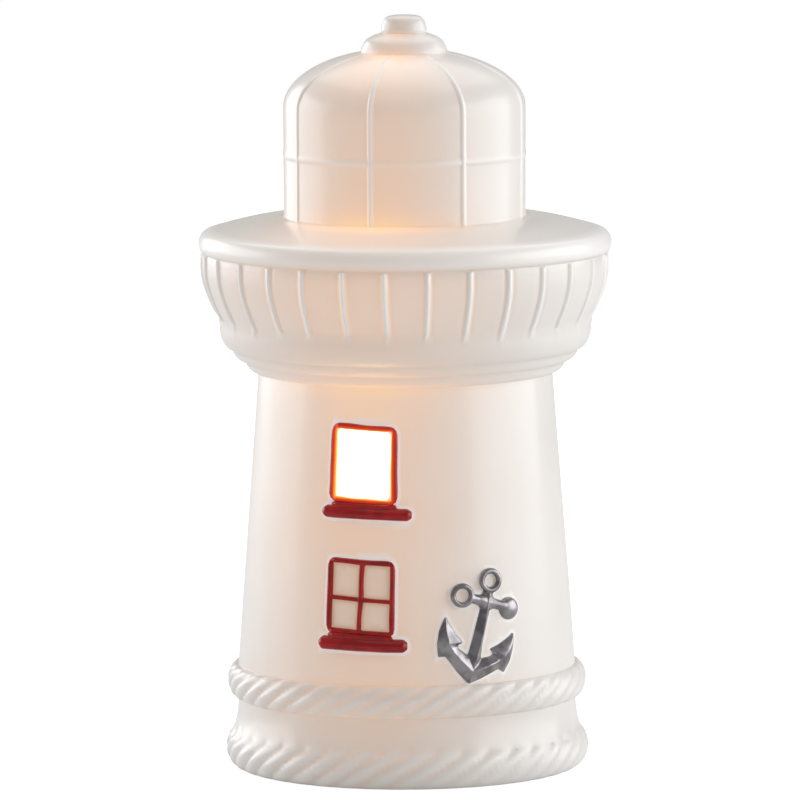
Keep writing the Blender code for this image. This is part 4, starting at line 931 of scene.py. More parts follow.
@dataclass
class Sprigs:
    """The reliefs on the tower: two red frames with their sills, and the anchor."""

    casting: Casting
    anchor_tilt: float = math.radians(15.8)
    anchor_turn: float = math.radians(45.0)
    anchor_level: float = 65.8 * MM
    anchor_side: float = 24.0 * MM      # the skin beyond this, across, is the anchor's
    frame_rise: float = 1.45 * MM
    sill_rise: float = 2.7 * MM
    grain: float = 0.24 * MM
    upper: Window = field(default_factory=lambda: Window(
        "upper", glass=(19.6 * MM, 23.6 * MM), side_bar=1.27 * MM, level_bar=1.12 * MM, drop=0.5 * MM,
        shift=0.3 * MM, sill_shift=(1.5 * MM, -0.2 * MM), sill_half=2.15 * MM, seed=1.1))
    lower: Window = field(default_factory=lambda: Window(
        "lower", glass=(21.0 * MM, 22.9 * MM), side_bar=1.0 * MM, level_bar=0.98 * MM, drop=1.0 * MM,
        shift=0.0, sill_shift=(1.1 * MM, 0.0), sill_half=2.45 * MM, seed=9.4, panes=True))
    meshes: dict[str, bmesh.types.BMesh] = field(default_factory=dict)
    trees: list[BVHTree] = field(default_factory=list)

    def __post_init__(self) -> None:
        """Models every sprig."""
        for window in (self.upper, self.lower):
            self.meshes[window.name + "_window_frame"] = self.frame(window)
            self.meshes[window.name + "_window_sill"] = self.sill(window)
        self.meshes["anchor"] = self.anchor()
        self.trees = [BVHTree.FromBMesh(bm) for bm in self.meshes.values()]

    def lay(self, bm: bmesh.types.BMesh, turn: float, level: float, shift: float = 0.0) -> bmesh.types.BMesh:
        """Bends a flat relief round the tower.

        Args:
            bm: the relief, flat in x and z, proud along -y.
            turn: its place round the tower, from the windows' side.
            level: its height.
            shift: how far it is moved across.

        Returns:
            The same mesh, in place.
        """
        around = self.casting.outer_radius(level)
        for vert in bm.verts:
            height = level + vert.co.z
            radius = self.casting.outer_radius(height) - vert.co.y
            angle = turn + (vert.co.x + shift) / around
            vert.co = (radius * math.sin(angle), -radius * math.cos(angle), height)
        bmesh.ops.recalc_face_normals(bm, faces=bm.faces)
        return bm

    def frame(self, window: Window) -> bmesh.types.BMesh:
        """A painted window frame: four bars, and a cross where it has panes.

        Args:
            window: its sizes.

        Returns:
            The frame's mesh, on the tower.
        """
        strips = Strips()
        width, height = window.glass
        side, rise = 0.5 * width + window.side_bar, 0.5 * height + window.level_bar
        corners = [(-side, rise), (side, rise), (side, -rise), (-side, -rise)]
        for index, start in enumerate(corners):
            end = corners[(index + 1) % 4]
            half = window.side_bar if index % 2 else window.level_bar
            strips.bar([start] + line(start, end, 14), half, self.frame_rise, window.seed + index, 0.15)
        if window.panes:
            top, foot = (0.5 * MM, rise), (-0.2 * MM, -rise)
            upright, level = 0.95 * self.frame_rise, 0.85 * self.frame_rise
            strips.bar([top] + line(top, foot, 14), 0.92 * MM, upright, window.seed + 5.5, 0.24)
            left, right = (-side, -0.9 * MM), (side, -0.9 * MM)
            strips.bar([left] + line(left, right, 14), 0.76 * MM, level, window.seed + 7.5, 0.2)
        flat = strips.fused(self.grain, 3)
        window.skew(flat)
        framed = self.lay(flat, 0.0, window.level, window.shift)
        # distance from the opening, which the upper frame's enamel reads for its painted glow
        near = framed.verts.layers.float.new("near")
        for vert in framed.verts:
            vert[near] = self.edge_distance(window, vert.co) / (2.4 * MM)
        return framed

    def sill(self, window: Window) -> bmesh.types.BMesh:
        """A bulging sill with a narrower ledge over it."""
        strips = Strips()
        ledge = -(0.5 * window.glass[1] + 2.0 * window.level_bar + 0.3 * MM)
        left, right = (-12.6 * MM, ledge), (10.6 * MM, ledge - 0.2 * MM)
        strips.bar([left] + line(left, right, 10), 1.0 * MM, 0.78 * self.sill_rise, window.seed + 4.2, 0.10)
        low = ledge - 0.5 * MM - window.sill_half + window.sill_shift[1]
        left, right = (-15.9 * MM, low), (15.9 * MM, low)
        strips.bar([left] + line(left, right, 22), window.sill_half, self.sill_rise, window.seed + 6.2, 0.07)
        flat = strips.fused(self.grain, 4)
        window.skew(flat, math.radians(1.5))
        return self.lay(flat, 0.0, window.level, window.shift + window.sill_shift[0])

    def anchor(self) -> bmesh.types.BMesh:
        """The anchor: eye, stock with a ring and a disc at its ends, ridged shank, arms and flukes."""
        strips = Strips()

        def mm(*points: Point) -> list[Point]:
            """Points given in millimetres, in metres."""
            return [(x * MM, z * MM) for x, z in points]

        def ridge(rows: list[tuple[Point, Point, Point, float]]) -> None:
            """A ridged strip, from rows of left edge, crest, right edge and height in millimetres."""
            strips.strip([Station(*mm(*row[:3]), row[3] * MM) for row in rows], Section.RIDGE)

        shank = [(4.6, -1.9, 0.0, 1.9, 1.9), (2.2, -2.1, 0.0, 2.2, 2.2), (0.0, -2.3, 0.1, 2.5, 2.4),
                 (-3.4, -1.8, 0.4, 2.0, 2.3), (-9.0, -2.0, 0.5, 1.9, 2.4), (-15.0, -2.2, 0.5, 2.0, 2.5),
                 (-20.0, -2.5, 0.3, 2.5, 2.6), (-24.6, -2.6, 0.1, 2.8, 2.1), (-29.0, -0.7, 0.1, 0.9, 1.2)]
        ridge([((left, z), (crest, z), (right, z), rise) for z, left, crest, right, rise in shank])
        arm = [((0.0, -29.6), (0.0, -25.2), (0.0, -20.4), 2.5),
               ((4.6, -26.6), (4.0, -22.8), (3.0, -19.7), 2.6),
               ((8.3, -23.7), (7.4, -20.5), (6.2, -18.3), 2.3),
               ((10.2, -22.2), (9.2, -18.9), (6.8, -17.2), 2.1),
               ((12.6, -23.0), (10.7, -17.4), (5.2, -15.9), 2.5),
               ((14.3, -18.4), (12.0, -14.8), (8.4, -13.6), 2.3),
               ((14.7, -13.9), (13.0, -12.2), (11.0, -11.2), 1.8),
               ((14.3, -10.6), (13.6, -9.9), (12.6, -9.5), 1.2),
               ((13.9, -8.8), (13.6, -8.6), (13.2, -8.6), 0.7)]
        for side in (-1.0, 1.0):
            ridge([tuple((side * p[0], p[1]) for p in row[:3]) + (row[3],) for row in arm])
        stock = ((-7.2, 0.7), (-5.6, 0.3), (-3.6, 0.35), (-1.4, 1.1),
                 (1.4, 1.1), (3.6, 0.35), (5.6, 0.3), (7.6, 0.7))
        strips.strip([Station(*mm((x, 1.5 + flare), (x, 0.0), (x, -1.5 - flare)), (1.9 + 0.25 * flare) * MM)
                      for x, flare in stock], Section.ROUND)
        strips.ring((-0.4 * MM, 7.7 * MM), 4.5 * MM, 2.4 * MM, 2.1 * MM)
        strips.ring((-9.8 * MM, 0.2 * MM), 4.4 * MM, 2.4 * MM, 2.1 * MM)
        strips.boss((9.8 * MM, -0.4 * MM), 4.1 * MM, 2.4 * MM)
        flat = strips.fused(self.grain, 5)
        tilt = Matrix.Rotation(self.anchor_tilt, 3, "Y")
        bmesh.ops.rotate(flat, cent=(0, 0, 0), matrix=tilt, verts=flat.verts)
        return self.lay(flat, self.anchor_turn, self.anchor_level)

    def distance(self, place: Vector) -> float:
        """How far a place is from the nearest sprig."""
        found = [tree.find_nearest(place, 0.02) for tree in self.trees]
        return min((hit[3] for hit in found if hit[0] is not None), default=1.0)

    def painted_highlight(self, place: Vector) -> float:
        """How strong the painted highlight is on the bare glaze beside a sprig: full round the windows, less
        beside the anchor.
        """
        return 0.85 if place.x < self.anchor_side else 0.55

    def edge_distance(self, window: Window, place: Vector) -> float:
        """How far a place on the tower is outside a window's glass; negative inside it."""
        x, z = window.flat(place, self.casting.outer_radius(window.level))
        across, up = abs(x) - 0.5 * window.glass[0], abs(z) - 0.5 * window.glass[1]
        if across > 0.0 and up > 0.0:
            return math.hypot(across, up)
        return max(across, up)

    def window_distance(self, place: Vector) -> float:
        """How far a place on the skin is from the open window."""
        return max(0.0, self.edge_distance(self.upper, place))

    def in_pane(self, place: Vector) -> float:
        """1 on the blind panes of the lower window, 0 off them."""
        return smoothstep(0.7 * MM, 0.2 * MM, self.edge_distance(self.lower, place))


# ---------------------------------------------------------------- finishes
def socket_colour(colour: Colour) -> tuple[float, float, float, float]:
    """A colour with its alpha."""
    return (*colour, 1.0)


class Groups:
    """Shader node groups that several finishes share, each made once."""

    def __init__(self) -> None:
        """Starts with none made."""
        self.mottle_group: bpy.types.NodeTree | None = None

    def mottle(self) -> bpy.types.NodeTree:
        """A soft unevenness: a slow cloud for colour and gloss, and a fine one for height.

        Returns:
            The group, with Cloud Scale and Grain Scale in, and Cloud and Height out.
        """
        if self.mottle_group is None:
            tree = bpy.data.node_groups.new("Mottle", "ShaderNodeTree")
            for name, value in (("Cloud Scale", 30.0), ("Grain Scale", 300.0)):
                socket = tree.interface.new_socket(name, in_out="INPUT", socket_type="NodeSocketFloat")
                socket.default_value = value
            for name in ("Cloud", "Height"):
                tree.interface.new_socket(name, in_out="OUTPUT", socket_type="NodeSocketFloat")
            source, sink = tree.nodes.new("NodeGroupInput"), tree.nodes.new("NodeGroupOutput")
            place = tree.nodes.new("ShaderNodeTexCoord")
            cloud, grain = tree.nodes.new("ShaderNodeTexNoise"), tree.nodes.new("ShaderNodeTexNoise")
            mix = tree.nodes.new("ShaderNodeMath")
            mix.operation = "MULTIPLY_ADD"
            mix.inputs[1].default_value = 0.35
            for noise_node, name, detail in ((cloud, "Cloud Scale", 2.0), (grain, "Grain Scale", 4.0)):
                noise_node.inputs["Detail"].default_value = detail
                tree.links.new(place.outputs["Object"], noise_node.inputs["Vector"])
                tree.links.new(source.outputs[name], noise_node.inputs["Scale"])
            tree.links.new(grain.outputs["Fac"], mix.inputs[0])
            tree.links.new(cloud.outputs["Fac"], mix.inputs[2])
            tree.links.new(cloud.outputs["Fac"], sink.inputs["Cloud"])
            tree.links.new(mix.outputs[0], sink.inputs["Height"])
            self.mottle_group = tree
        return self.mottle_group


GROUPS = Groups()


class Graph:
    """A material's node tree, with short calls for what the finishes add to it."""

    def __init__(self, name: str) -> None:
        """Starts a material with its Principled shader."""
        self.material = bpy.data.materials.new(name)
        self.material.use_nodes = True
        self.nodes = self.material.node_tree.nodes
        self.links = self.material.node_tree.links
        self.shader = self.nodes["Principled BSDF"]

    def set(self, **values: float | tuple[float, ...]) -> None:
        """Sets plain values on the shader, underscores standing for spaces."""
        for name, value in values.items():
            self.shader.inputs[name.replace("_", " ")].default_value = value

    def ramp(self, factor: bpy.types.NodeSocket, stops: list[tuple[float, Colour]]) -> bpy.types.NodeSocket:
        """Colours a value.

        Args:
            factor: the value, 0 to 1.
            stops: (place, colour) pairs.

        Returns:
            The colour's socket.
        """
        node = self.nodes.new("ShaderNodeValToRGB")
        while len(node.color_ramp.elements) < len(stops):
            node.color_ramp.elements.new(0.5)
        node.color_ramp.interpolation = "EASE" if len(stops) == 2 else "LINEAR"
        for element, (place, colour) in zip(node.color_ramp.elements, stops):
            element.position, element.color = place, socket_colour(colour)
        self.links.new(factor, node.inputs["Fac"])
        return node.outputs["Color"]

    def maths(self, operation: str, first: bpy.types.NodeSocket | float,
              second: bpy.types.NodeSocket | float) -> bpy.types.NodeSocket:
        """A sum on two values, either of which may be plain."""
        node = self.nodes.new("ShaderNodeMath")
        node.operation = operation
        for socket, value in zip(node.inputs, (first, second)):
            if isinstance(value, (int, float)):
                socket.default_value = value
            else:
                self.links.new(value, socket)
        return node.outputs[0]

    def mix(self, factor: bpy.types.NodeSocket, first: bpy.types.NodeSocket | Colour,
            second: bpy.types.NodeSocket | Colour) -> bpy.types.NodeSocket:
        """Blends two colours, either of which may be plain."""
        node = self.nodes.new("ShaderNodeMix")
        node.data_type = "RGBA"
        self.links.new(factor, node.inputs["Factor"])
        colours = [socket for socket in node.inputs if socket.type == "RGBA"]
        for socket, value in zip(colours, (first, second)):
            if isinstance(value, tuple):
                socket.default_value = socket_colour(value)
            else:
                self.links.new(value, socket)
        return next(socket for socket in node.outputs if socket.type == "RGBA")

    def attribute(self, name: str) -> bpy.types.NodeSocket:
        """A mesh's own float attribute."""
        node = self.nodes.new("ShaderNodeAttribute")
        node.attribute_name = name
        return node.outputs["Fac"]

    def mottle(self, cloud: float, grain: float) -> bpy.types.Node:
        """The shared unevenness at this finish's own scales."""
        node = self.nodes.new("ShaderNodeGroup")
        node.node_tree = GROUPS.mottle()
        node.inputs["Cloud Scale"].default_value = cloud
        node.inputs["Grain Scale"].default_value = grain
        return node

    def bump(self, height: bpy.types.NodeSocket, strength: float, distance: float) -> None:
        """Feeds a height to the shader's normal."""
        node = self.nodes.new("ShaderNodeBump")
        node.inputs["Strength"].default_value = strength
        node.inputs["Distance"].default_value = distance
        self.links.new(height, node.inputs["Height"])
        self.links.new(node.outputs["Normal"], self.shader.inputs["Normal"])

    def feed(self, socket: bpy.types.NodeSocket, name: str) -> None:
        """Feeds a socket to one of the shader's inputs."""
        self.links.new(socket, self.shader.inputs[name])


@dataclass(frozen=True)
class Finish:
    """A plain finish: two near colours in a cloud, a range of gloss and a fine surface."""

    name: str
    colour: Colour
    second: Colour
    gloss: Point                # roughness where the cloud is thin and where it is thick
    metallic: float = 0.0
    coat: float = 0.0
    cloud: float = 60.0
    grain: float = 900.0
    bump: float = 0.12
    depth: float = 0.05 * MM
    transmission: float = 0.0
    glow: Colour = (0.0, 0.0, 0.0)
    glow_strength: float = 0.0

    def build(self) -> bpy.types.Material:
        """Makes the material."""
        graph = Graph(self.name)
        mottle = graph.mottle(self.cloud, self.grain)
        cloud = mottle.outputs["Cloud"]
        graph.feed(graph.ramp(cloud, [(0.35, self.colour), (0.65, self.second)]), "Base Color")
        low, high = self.gloss
        graph.feed(graph.ramp(cloud, [(0.3, (low,) * 3), (0.7, (high,) * 3)]), "Roughness")
        graph.bump(mottle.outputs["Height"], self.bump, self.depth)
        graph.set(Metallic=self.metallic, Coat_Weight=self.coat, Coat_Roughness=0.06,
                  Transmission_Weight=self.transmission)
        if self.glow_strength:
            graph.set(Emission_Color=socket_colour(self.glow), Emission_Strength=self.glow_strength)
        return graph.material


@dataclass(frozen=True)
class Porcelain:
    """Glazed porcelain with painted light: an orange emission stands in for the lamp's light through its wall,
    and a painted highlight whitens its crests.
    """

    name: str = "Glazed porcelain"
    white: Colour = (0.86, 0.845, 0.825)
    shade: Colour = (0.82, 0.80, 0.775)
    # whiter base colour under the painted highlight
    painted_highlight: Colour = (0.93, 0.92, 0.905)
    pane: Colour = (0.78, 0.77, 0.74)
    # painted shade along the panes' edges beside the frame bars
    pane_edge_shade: Colour = (0.66, 0.62, 0.57)
    # white emission of the painted highlight
    painted_white_glow: Colour = (0.115, 0.113, 0.108)
    strength: float = 2.8

    def build(self) -> bpy.types.Material:
        """Makes the material from the casting's painted glow, inside, painted highlight and pane attributes."""
        graph = Graph(self.name)
        mottle = graph.mottle(22.0, 420.0)
        painted_highlight, pane = graph.attribute("painted_highlight"), graph.attribute("pane")
        base = graph.ramp(mottle.outputs["Cloud"], [(0.2, self.white), (0.8, self.shade)])
        base = graph.mix(pane, base, self.pane)
        # painted highlight, kept off the panes: whiter base colour, less glow, and a white emission
        rim = graph.maths("MULTIPLY", painted_highlight, graph.maths("SUBTRACT", 1.0, pane))
        base = graph.mix(rim, base, self.painted_highlight)
        # painted shade along the panes' edges, where they meet the frame bars
        base = graph.mix(graph.maths("MULTIPLY", painted_highlight, pane), base, self.pane_edge_shade)
        graph.feed(base, "Base Color")
        # painted glow through the wall: the glow attribute with a mottle, weaker under the painted highlight
        # and on the panes
        cloud = graph.maths("MULTIPLY_ADD", mottle.outputs["Cloud"], 0.30)
        cloud.node.inputs[2].default_value = 0.85
        light = graph.maths("MULTIPLY", graph.attribute("glow"), cloud)
        clear = graph.maths("SUBTRACT", 1.0, graph.maths("MULTIPLY", rim, 0.55))
        dim = graph.maths("SUBTRACT", 1.0, graph.maths("MULTIPLY", pane, 0.22))
        light = graph.maths("MULTIPLY", graph.maths("MULTIPLY", light, clear), dim)
        light = graph.maths("MULTIPLY", light, 0.5)
        # colour of the painted glow, from dark orange to a yellower orange as it grows
        painted_glow_colour = graph.ramp(light, [(0.0, (0.0, 0.0, 0.0)), (0.25, (0.0560, 0.0225, 0.0025)),
                                  (0.5, (0.1120, 0.0440, 0.0050)), (0.75, (0.175, 0.081, 0.009)),
                                  (1.0, (0.250, 0.135, 0.022))])
        # painted highlight: white emission mixed in on crests, the lip and beside the sprigs
        painted_glow_colour = graph.mix(graph.maths("MULTIPLY", rim, 0.8), painted_glow_colour, self.painted_white_glow)
        # painted glow on the inner skin: it emits, dark orange at the reveal's edge to near white deep inside,
        # in place of the bulb's light
        inside = graph.attribute("inside")
        lit = graph.ramp(inside, [(0.0, (0.22, 0.045, 0.003)), (0.22, (0.36, 0.13, 0.01)),
                                  (0.55, (0.62, 0.36, 0.09)), (1.0, (1.0, 0.80, 0.50))])
        edge = graph.ramp(inside, [(0.02, (0.0, 0.0, 0.0)), (0.16, (1.0, 1.0, 1.0))])
        graph.feed(graph.mix(edge, painted_glow_colour, lit), "Emission Color")
        graph.feed(graph.ramp(mottle.outputs["Cloud"], [(0.15, (0.30,) * 3), (0.85, (0.35,) * 3)]), "Roughness")
        graph.bump(mottle.outputs["Height"], 0.18, 0.06 * MM)
        graph.set(Coat_Weight=0.35, Coat_Roughness=0.17, Emission_Strength=self.strength)
        return graph.material


@dataclass(frozen=True)
class Enamel:
    """Red enamel brushed over the porcelain, with a painted glow: orange emission along the open window's edge
    on the upper frame, a faint red emission on the others.
    """

    name: str
    red: Colour = (0.38, 0.0025, 0.005)
    deep: Colour = (0.25, 0.001, 0.0025)
    # whether the enamel carries the painted glow by the opening
    lit: bool = False

    def build(self) -> bpy.types.Material:
        """Makes the material; the upper frame's enamel reads the frame's distance from its opening to set its
        painted glow.
        """
        graph = Graph(self.name)
        mottle = graph.mottle(170.0, 900.0)
        graph.feed(graph.ramp(mottle.outputs["Cloud"], [(0.36, self.deep), (0.56, self.red)]), "Base Color")
        graph.feed(graph.ramp(mottle.outputs["Cloud"], [(0.3, (0.29,) * 3), (0.7, (0.38,) * 3)]), "Roughness")
        graph.bump(mottle.outputs["Height"], 0.25, 0.10 * MM)
        graph.set(Coat_Weight=0.3, Coat_Roughness=0.10, Specular_IOR_Level=0.3)
        if self.lit:
            # painted glow: orange emission along the edge by the opening, fading to dark red away from it
            graph.feed(graph.ramp(graph.attribute("near"),
                                  [(0.0, (1.0, 0.62, 0.16)), (0.12, (1.0, 0.30, 0.02)),
                                   (0.34, (0.55, 0.05, 0.0)), (0.75, (0.14, 0.004, 0.0)),
                                   (1.0, (0.05, 0.0, 0.0))]), "Emission Color")
            graph.set(Emission_Strength=1.0)
        else:
            # painted glow: a faint red emission over the whole frame
            graph.set(Emission_Color=socket_colour((0.5, 0.01, 0.005)), Emission_Strength=0.06)
        return graph.material


FINISHES = {
    "platinum_lustre": Finish("Platinum lustre", (0.36, 0.345, 0.36), (0.20, 0.19, 0.20), (0.29, 0.38),
                              metallic=1.0, coat=0.5, cloud=190.0, bump=0.35, depth=0.12 * MM),
    "white_thermoplastic": Finish("White thermoplastic", (0.80, 0.79, 0.76), (0.74, 0.73, 0.70), (0.36, 0.46),
                                  cloud=40.0, grain=1500.0, bump=0.10),
    "zinc_steel": Finish("Zinc-plated steel", (0.55, 0.56, 0.56), (0.42, 0.43, 0.44), (0.26, 0.42),
                         metallic=1.0, cloud=400.0),
    "bush_rubber": Finish("Bush rubber", (0.64, 0.63, 0.60), (0.56, 0.55, 0.52), (0.58, 0.70), cloud=200.0),
    "steatite_insert": Finish("Steatite", (0.78, 0.75, 0.68), (0.70, 0.67, 0.60), (0.55, 0.68), cloud=150.0),
    "contact_brass": Finish("Contact brass", (0.72, 0.50, 0.20), (0.58, 0.38, 0.14), (0.24, 0.42), metallic=1.0,
                            cloud=260.0),
    "spring_steel": Finish("Spring steel", (0.50, 0.50, 0.49), (0.38, 0.38, 0.38), (0.22, 0.36), metallic=1.0,
                           cloud=320.0),
    "solder": Finish("Solder", (0.62, 0.62, 0.61), (0.46, 0.46, 0.46), (0.30, 0.50), metallic=1.0,
                     cloud=700.0),
    "cap_glass": Finish("Cap glass", (0.02, 0.02, 0.025), (0.04, 0.03, 0.04), (0.12, 0.20), coat=0.5,
                        cloud=500.0),
    "nickelled_cap": Finish("Nickelled cap", (0.66, 0.65, 0.62), (0.52, 0.51, 0.48), (0.18, 0.32), metallic=1.0,
                            cloud=300.0),
    "frosted_glass": Finish("Frosted glass", (0.92, 0.90, 0.86), (0.88, 0.85, 0.80), (0.42, 0.52), cloud=90.0,
                            glow=(1.0, 0.66, 0.27), glow_strength=0.60),
    "stem_glass": Finish("Stem glass", (0.90, 0.92, 0.90), (0.84, 0.87, 0.85), (0.06, 0.12), transmission=0.8,
                         cloud=200.0, bump=0.05),
    "nickel_wire": Finish("Nickel wire", (0.55, 0.53, 0.50), (0.42, 0.40, 0.38), (0.28, 0.40), metallic=1.0,
                          cloud=900.0),
    "tungsten": Finish("Tungsten", (0.30, 0.29, 0.28), (0.22, 0.21, 0.20), (0.40, 0.55), metallic=1.0,
                       cloud=900.0, glow=(1.0, 0.55, 0.18), glow_strength=14.0),
}


# ---------------------------------------------------------------- the lamp inside
@dataclass
class LightUnit:
    """The holder and bulb: smooth turned pieces for what shows when the casting is lifted off."""

    materials: dict[str, bpy.types.Material]
    steps: int = 96
    barrel_radius: float = 14.0 * MM
    barrel_wall: float = 1.6 * MM
    cover_wall: float = 2.5 * MM
    cover_bore: float = 14.4 * MM
    bush_place: float = 29.0 * MM       # the middle of the cover's wall, where the bush's hole goes through
    bush_hole: float = 3.9 * MM
    bulb_neck: float = 7.45 * MM
    bulb_wall: float = 0.6 * MM

    def size(self, node: str) -> tuple[float, float, float]:
        """A round node's radius, foot and top."""
        low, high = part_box(node)
        return 0.5 * (high.x - low.x), low.z, high.z

    def piece(self, name: str, bm: bmesh.types.BMesh, body: str, slot: str, node: str) -> bpy.types.Object:
        """Finishes a piece that stands for one node."""
        return finish_object(name, bm, self.materials[slot], body, (node,), sharp=35.0)

    def build_cover(self) -> None:
        """The holder's base: a domed cover with a rounded edge, and the plate that closes it."""
        radius, foot, top = self.size("base_cover")
        bore, inner = self.cover_bore, radius - self.cover_wall
        skin = [(bore, top - 3.4 * MM), (inner, top - 3.4 * MM), (inner, foot), (radius - 0.3 * MM, foot),
                (radius, foot + 0.3 * MM)]
        skin += arc((radius - 2.0 * MM, top - 2.0 * MM), (2.0 * MM, 2.0 * MM), 0.0, 90.0, 10)
        skin += [(bore + 1.6 * MM, top), (bore + 1.4 * MM, top - 0.35 * MM), (bore + 0.4 * MM, top - 0.35 * MM),
                 (bore, top - 0.6 * MM)]
        self.piece("holder_cover", self.pierced(lathe(skin, self.steps)), "light_unit", "white_thermoplastic",
                   "base_cover")
        radius, foot, top = self.size("bottom_plate")
        edge = 0.8 * MM
        skin = [(0.0, foot), (16.0 * MM, foot), (16.3 * MM, foot + 0.3 * MM), (17.0 * MM, foot + 0.3 * MM),
                (17.3 * MM, foot), (radius - edge, foot), (radius, foot + edge), (radius, top), (0.0, top)]
        plate = lathe(skin, self.steps, closed=False)
        self.piece("holder_plate", plate, "light_unit", "white_thermoplastic", "bottom_plate")

    def pierced(self, bm: bmesh.types.BMesh) -> bmesh.types.BMesh:
        """Cuts the bush's hole through the cover's wall."""
        low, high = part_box("cord_bush")
        middle = 0.5 * (low.z + high.z)
        mesh = bpy.data.meshes.new("drill")
        drill_mesh = bmesh.new()
        matrix = Matrix.Translation((0.0, self.bush_place, middle)) @ Matrix.Rotation(0.5 * math.pi, 4, "X")
        bmesh.ops.create_cone(drill_mesh, cap_ends=True, segments=32, radius1=self.bush_hole,
                              radius2=self.bush_hole, depth=8.0 * MM, matrix=matrix)
        drill_mesh.to_mesh(mesh)
        drill_mesh.free()
        drill = bpy.data.objects.new("drill", mesh)
        bpy.context.scene.collection.objects.link(drill)

        def dress(worker: bpy.types.Object) -> None:
            """Adds the cut."""
            cut = worker.modifiers.new("cut", "BOOLEAN")
            cut.operation, cut.solver, cut.object = "DIFFERENCE", "EXACT", drill

        result = evaluated(bm, dress)
        bpy.data.objects.remove(drill)
        bpy.data.meshes.remove(mesh)
        return result

    def build_barrel(self) -> None:
        """The candle-style barrel, with a rolled top edge and two shallow mould lines."""
        low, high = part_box("holder_barrel")
        radius, wall = self.barrel_radius, self.barrel_wall
        flange, top = 0.5 * (high.x - low.x), high.z
        skin = [(radius - wall, low.z), (flange, low.z), (flange, low.z + 3.0 * MM), (radius, low.z + 3.0 * MM)]
        for level in (22.0 * MM, 36.0 * MM):
            skin += [(radius, level - 0.25 * MM), (radius - 0.12 * MM, level), (radius, level + 0.25 * MM)]
        skin += arc((radius - 0.5 * wall, top - 0.5 * wall), (0.5 * wall, 0.5 * wall), 0.0, 180.0, 12)
        barrel = lathe(skin, self.steps)
        self.piece("candle_barrel", barrel, "light_unit", "white_thermoplastic", "holder_barrel")

    def build_bulb(self) -> None:
        """The candle bulb's frosted envelope, blown thin, with its tip drawn out."""
        radius, foot, top = self.size("bulb_glass")
        neck, belly = self.bulb_neck, foot + 0.43 * (top - foot)
        skin: list[Point] = [(neck, foot), (neck, foot + 1.3 * MM)]
        for index in range(1, 17):
            share = index / 16
            swell = 0.5 - 0.5 * math.cos(math.pi * share)
            skin.append((neck + (radius - neck) * swell, foot + 1.3 * MM + (belly - foot - 1.3 * MM) * share))
        for index in range(1, 25):
            angle = 0.5 * math.pi * index / 24
            skin.append((radius * max(0.0, math.cos(angle)) ** 1.25, belly + (top - belly) * math.sin(angle)))
        skin[-1] = (0.0, top)
        wall = self.bulb_wall
        inner = [(max(0.0, r - wall), min(z, top - wall)) for r, z in reversed(skin)]
        envelope = lathe(skin + inner, self.steps)
        self.piece("bulb_envelope", envelope, "bulb", "frosted_glass", "bulb_glass")

    def build_bush(self) -> None:
        """The rubber bush in the cover's wall, with its snap ring and ribbed nose."""
        low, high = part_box("cord_bush")
        middle = 0.5 * (low.z + high.z)
        bore, shaft, snap, collar = 2.6 * MM, 3.6 * MM, 4.4 * MM, 4.88 * MM
        outer, seat = 30.3 * MM, 26.9 * MM
        skin = [(bore, low.y), (bore + 0.3 * MM, low.y), (snap, seat - 1.2 * MM), (snap, seat), (shaft, seat),
                (shaft, outer), (collar - 0.2 * MM, outer), (collar, outer + 0.2 * MM),
                (collar, outer + 1.4 * MM), (collar - 0.3 * MM, outer + 1.6 * MM),
                (shaft + 0.5 * MM, outer + 1.8 * MM)]
        skin += [(shaft + 0.2 * MM, outer + 2.4 * MM), (shaft + 0.5 * MM, outer + 2.8 * MM),
                 (shaft, outer + 3.2 * MM), (shaft, high.y - 0.3 * MM), (shaft - 0.3 * MM, high.y),
                 (bore, high.y)]
        bm = lathe(skin, 48)
        bmesh.ops.rotate(bm, cent=(0, 0, 0), matrix=Matrix.Rotation(-0.5 * math.pi, 3, "X"), verts=bm.verts)
        bmesh.ops.translate(bm, vec=(0.0, 0.0, middle), verts=bm.verts)
        self.piece("cord_inlet_bush", bm, "light_unit", "bush_rubber", "cord_bush")

    def build(self) -> None:
        """Makes every turned piece of the lamp."""
        self.build_cover()
        self.build_barrel()
        self.build_bulb()
        self.build_bush()


# ---------------------------------------------------------------- studio
@dataclass(frozen=True)
class SoftBox:
    """A rectangular studio light that faces the lamp."""

    name: str
    azimuth: float      # degrees round from the windows' side, towards +X
    distance: float
    height: float
    width: float
    tall: float
    power: float
    target: float = 0.14

    def build(self) -> None:
        """Hangs the light."""
        data = bpy.data.lights.new(self.name, "AREA")
        data.shape, data.size, data.size_y, data.energy = "RECTANGLE", self.width, self.tall, self.power
        light = bpy.data.objects.new(self.name, data)
        turn = math.radians(self.azimuth)
        light.location = (self.distance * math.sin(turn), -self.distance * math.cos(turn), self.height)
        aim = Vector((0.0, 0.0, self.target)) - light.location
        light.rotation_euler = aim.to_track_quat("-Z", "Y").to_euler()
        bpy.context.scene.collection.objects.link(light)


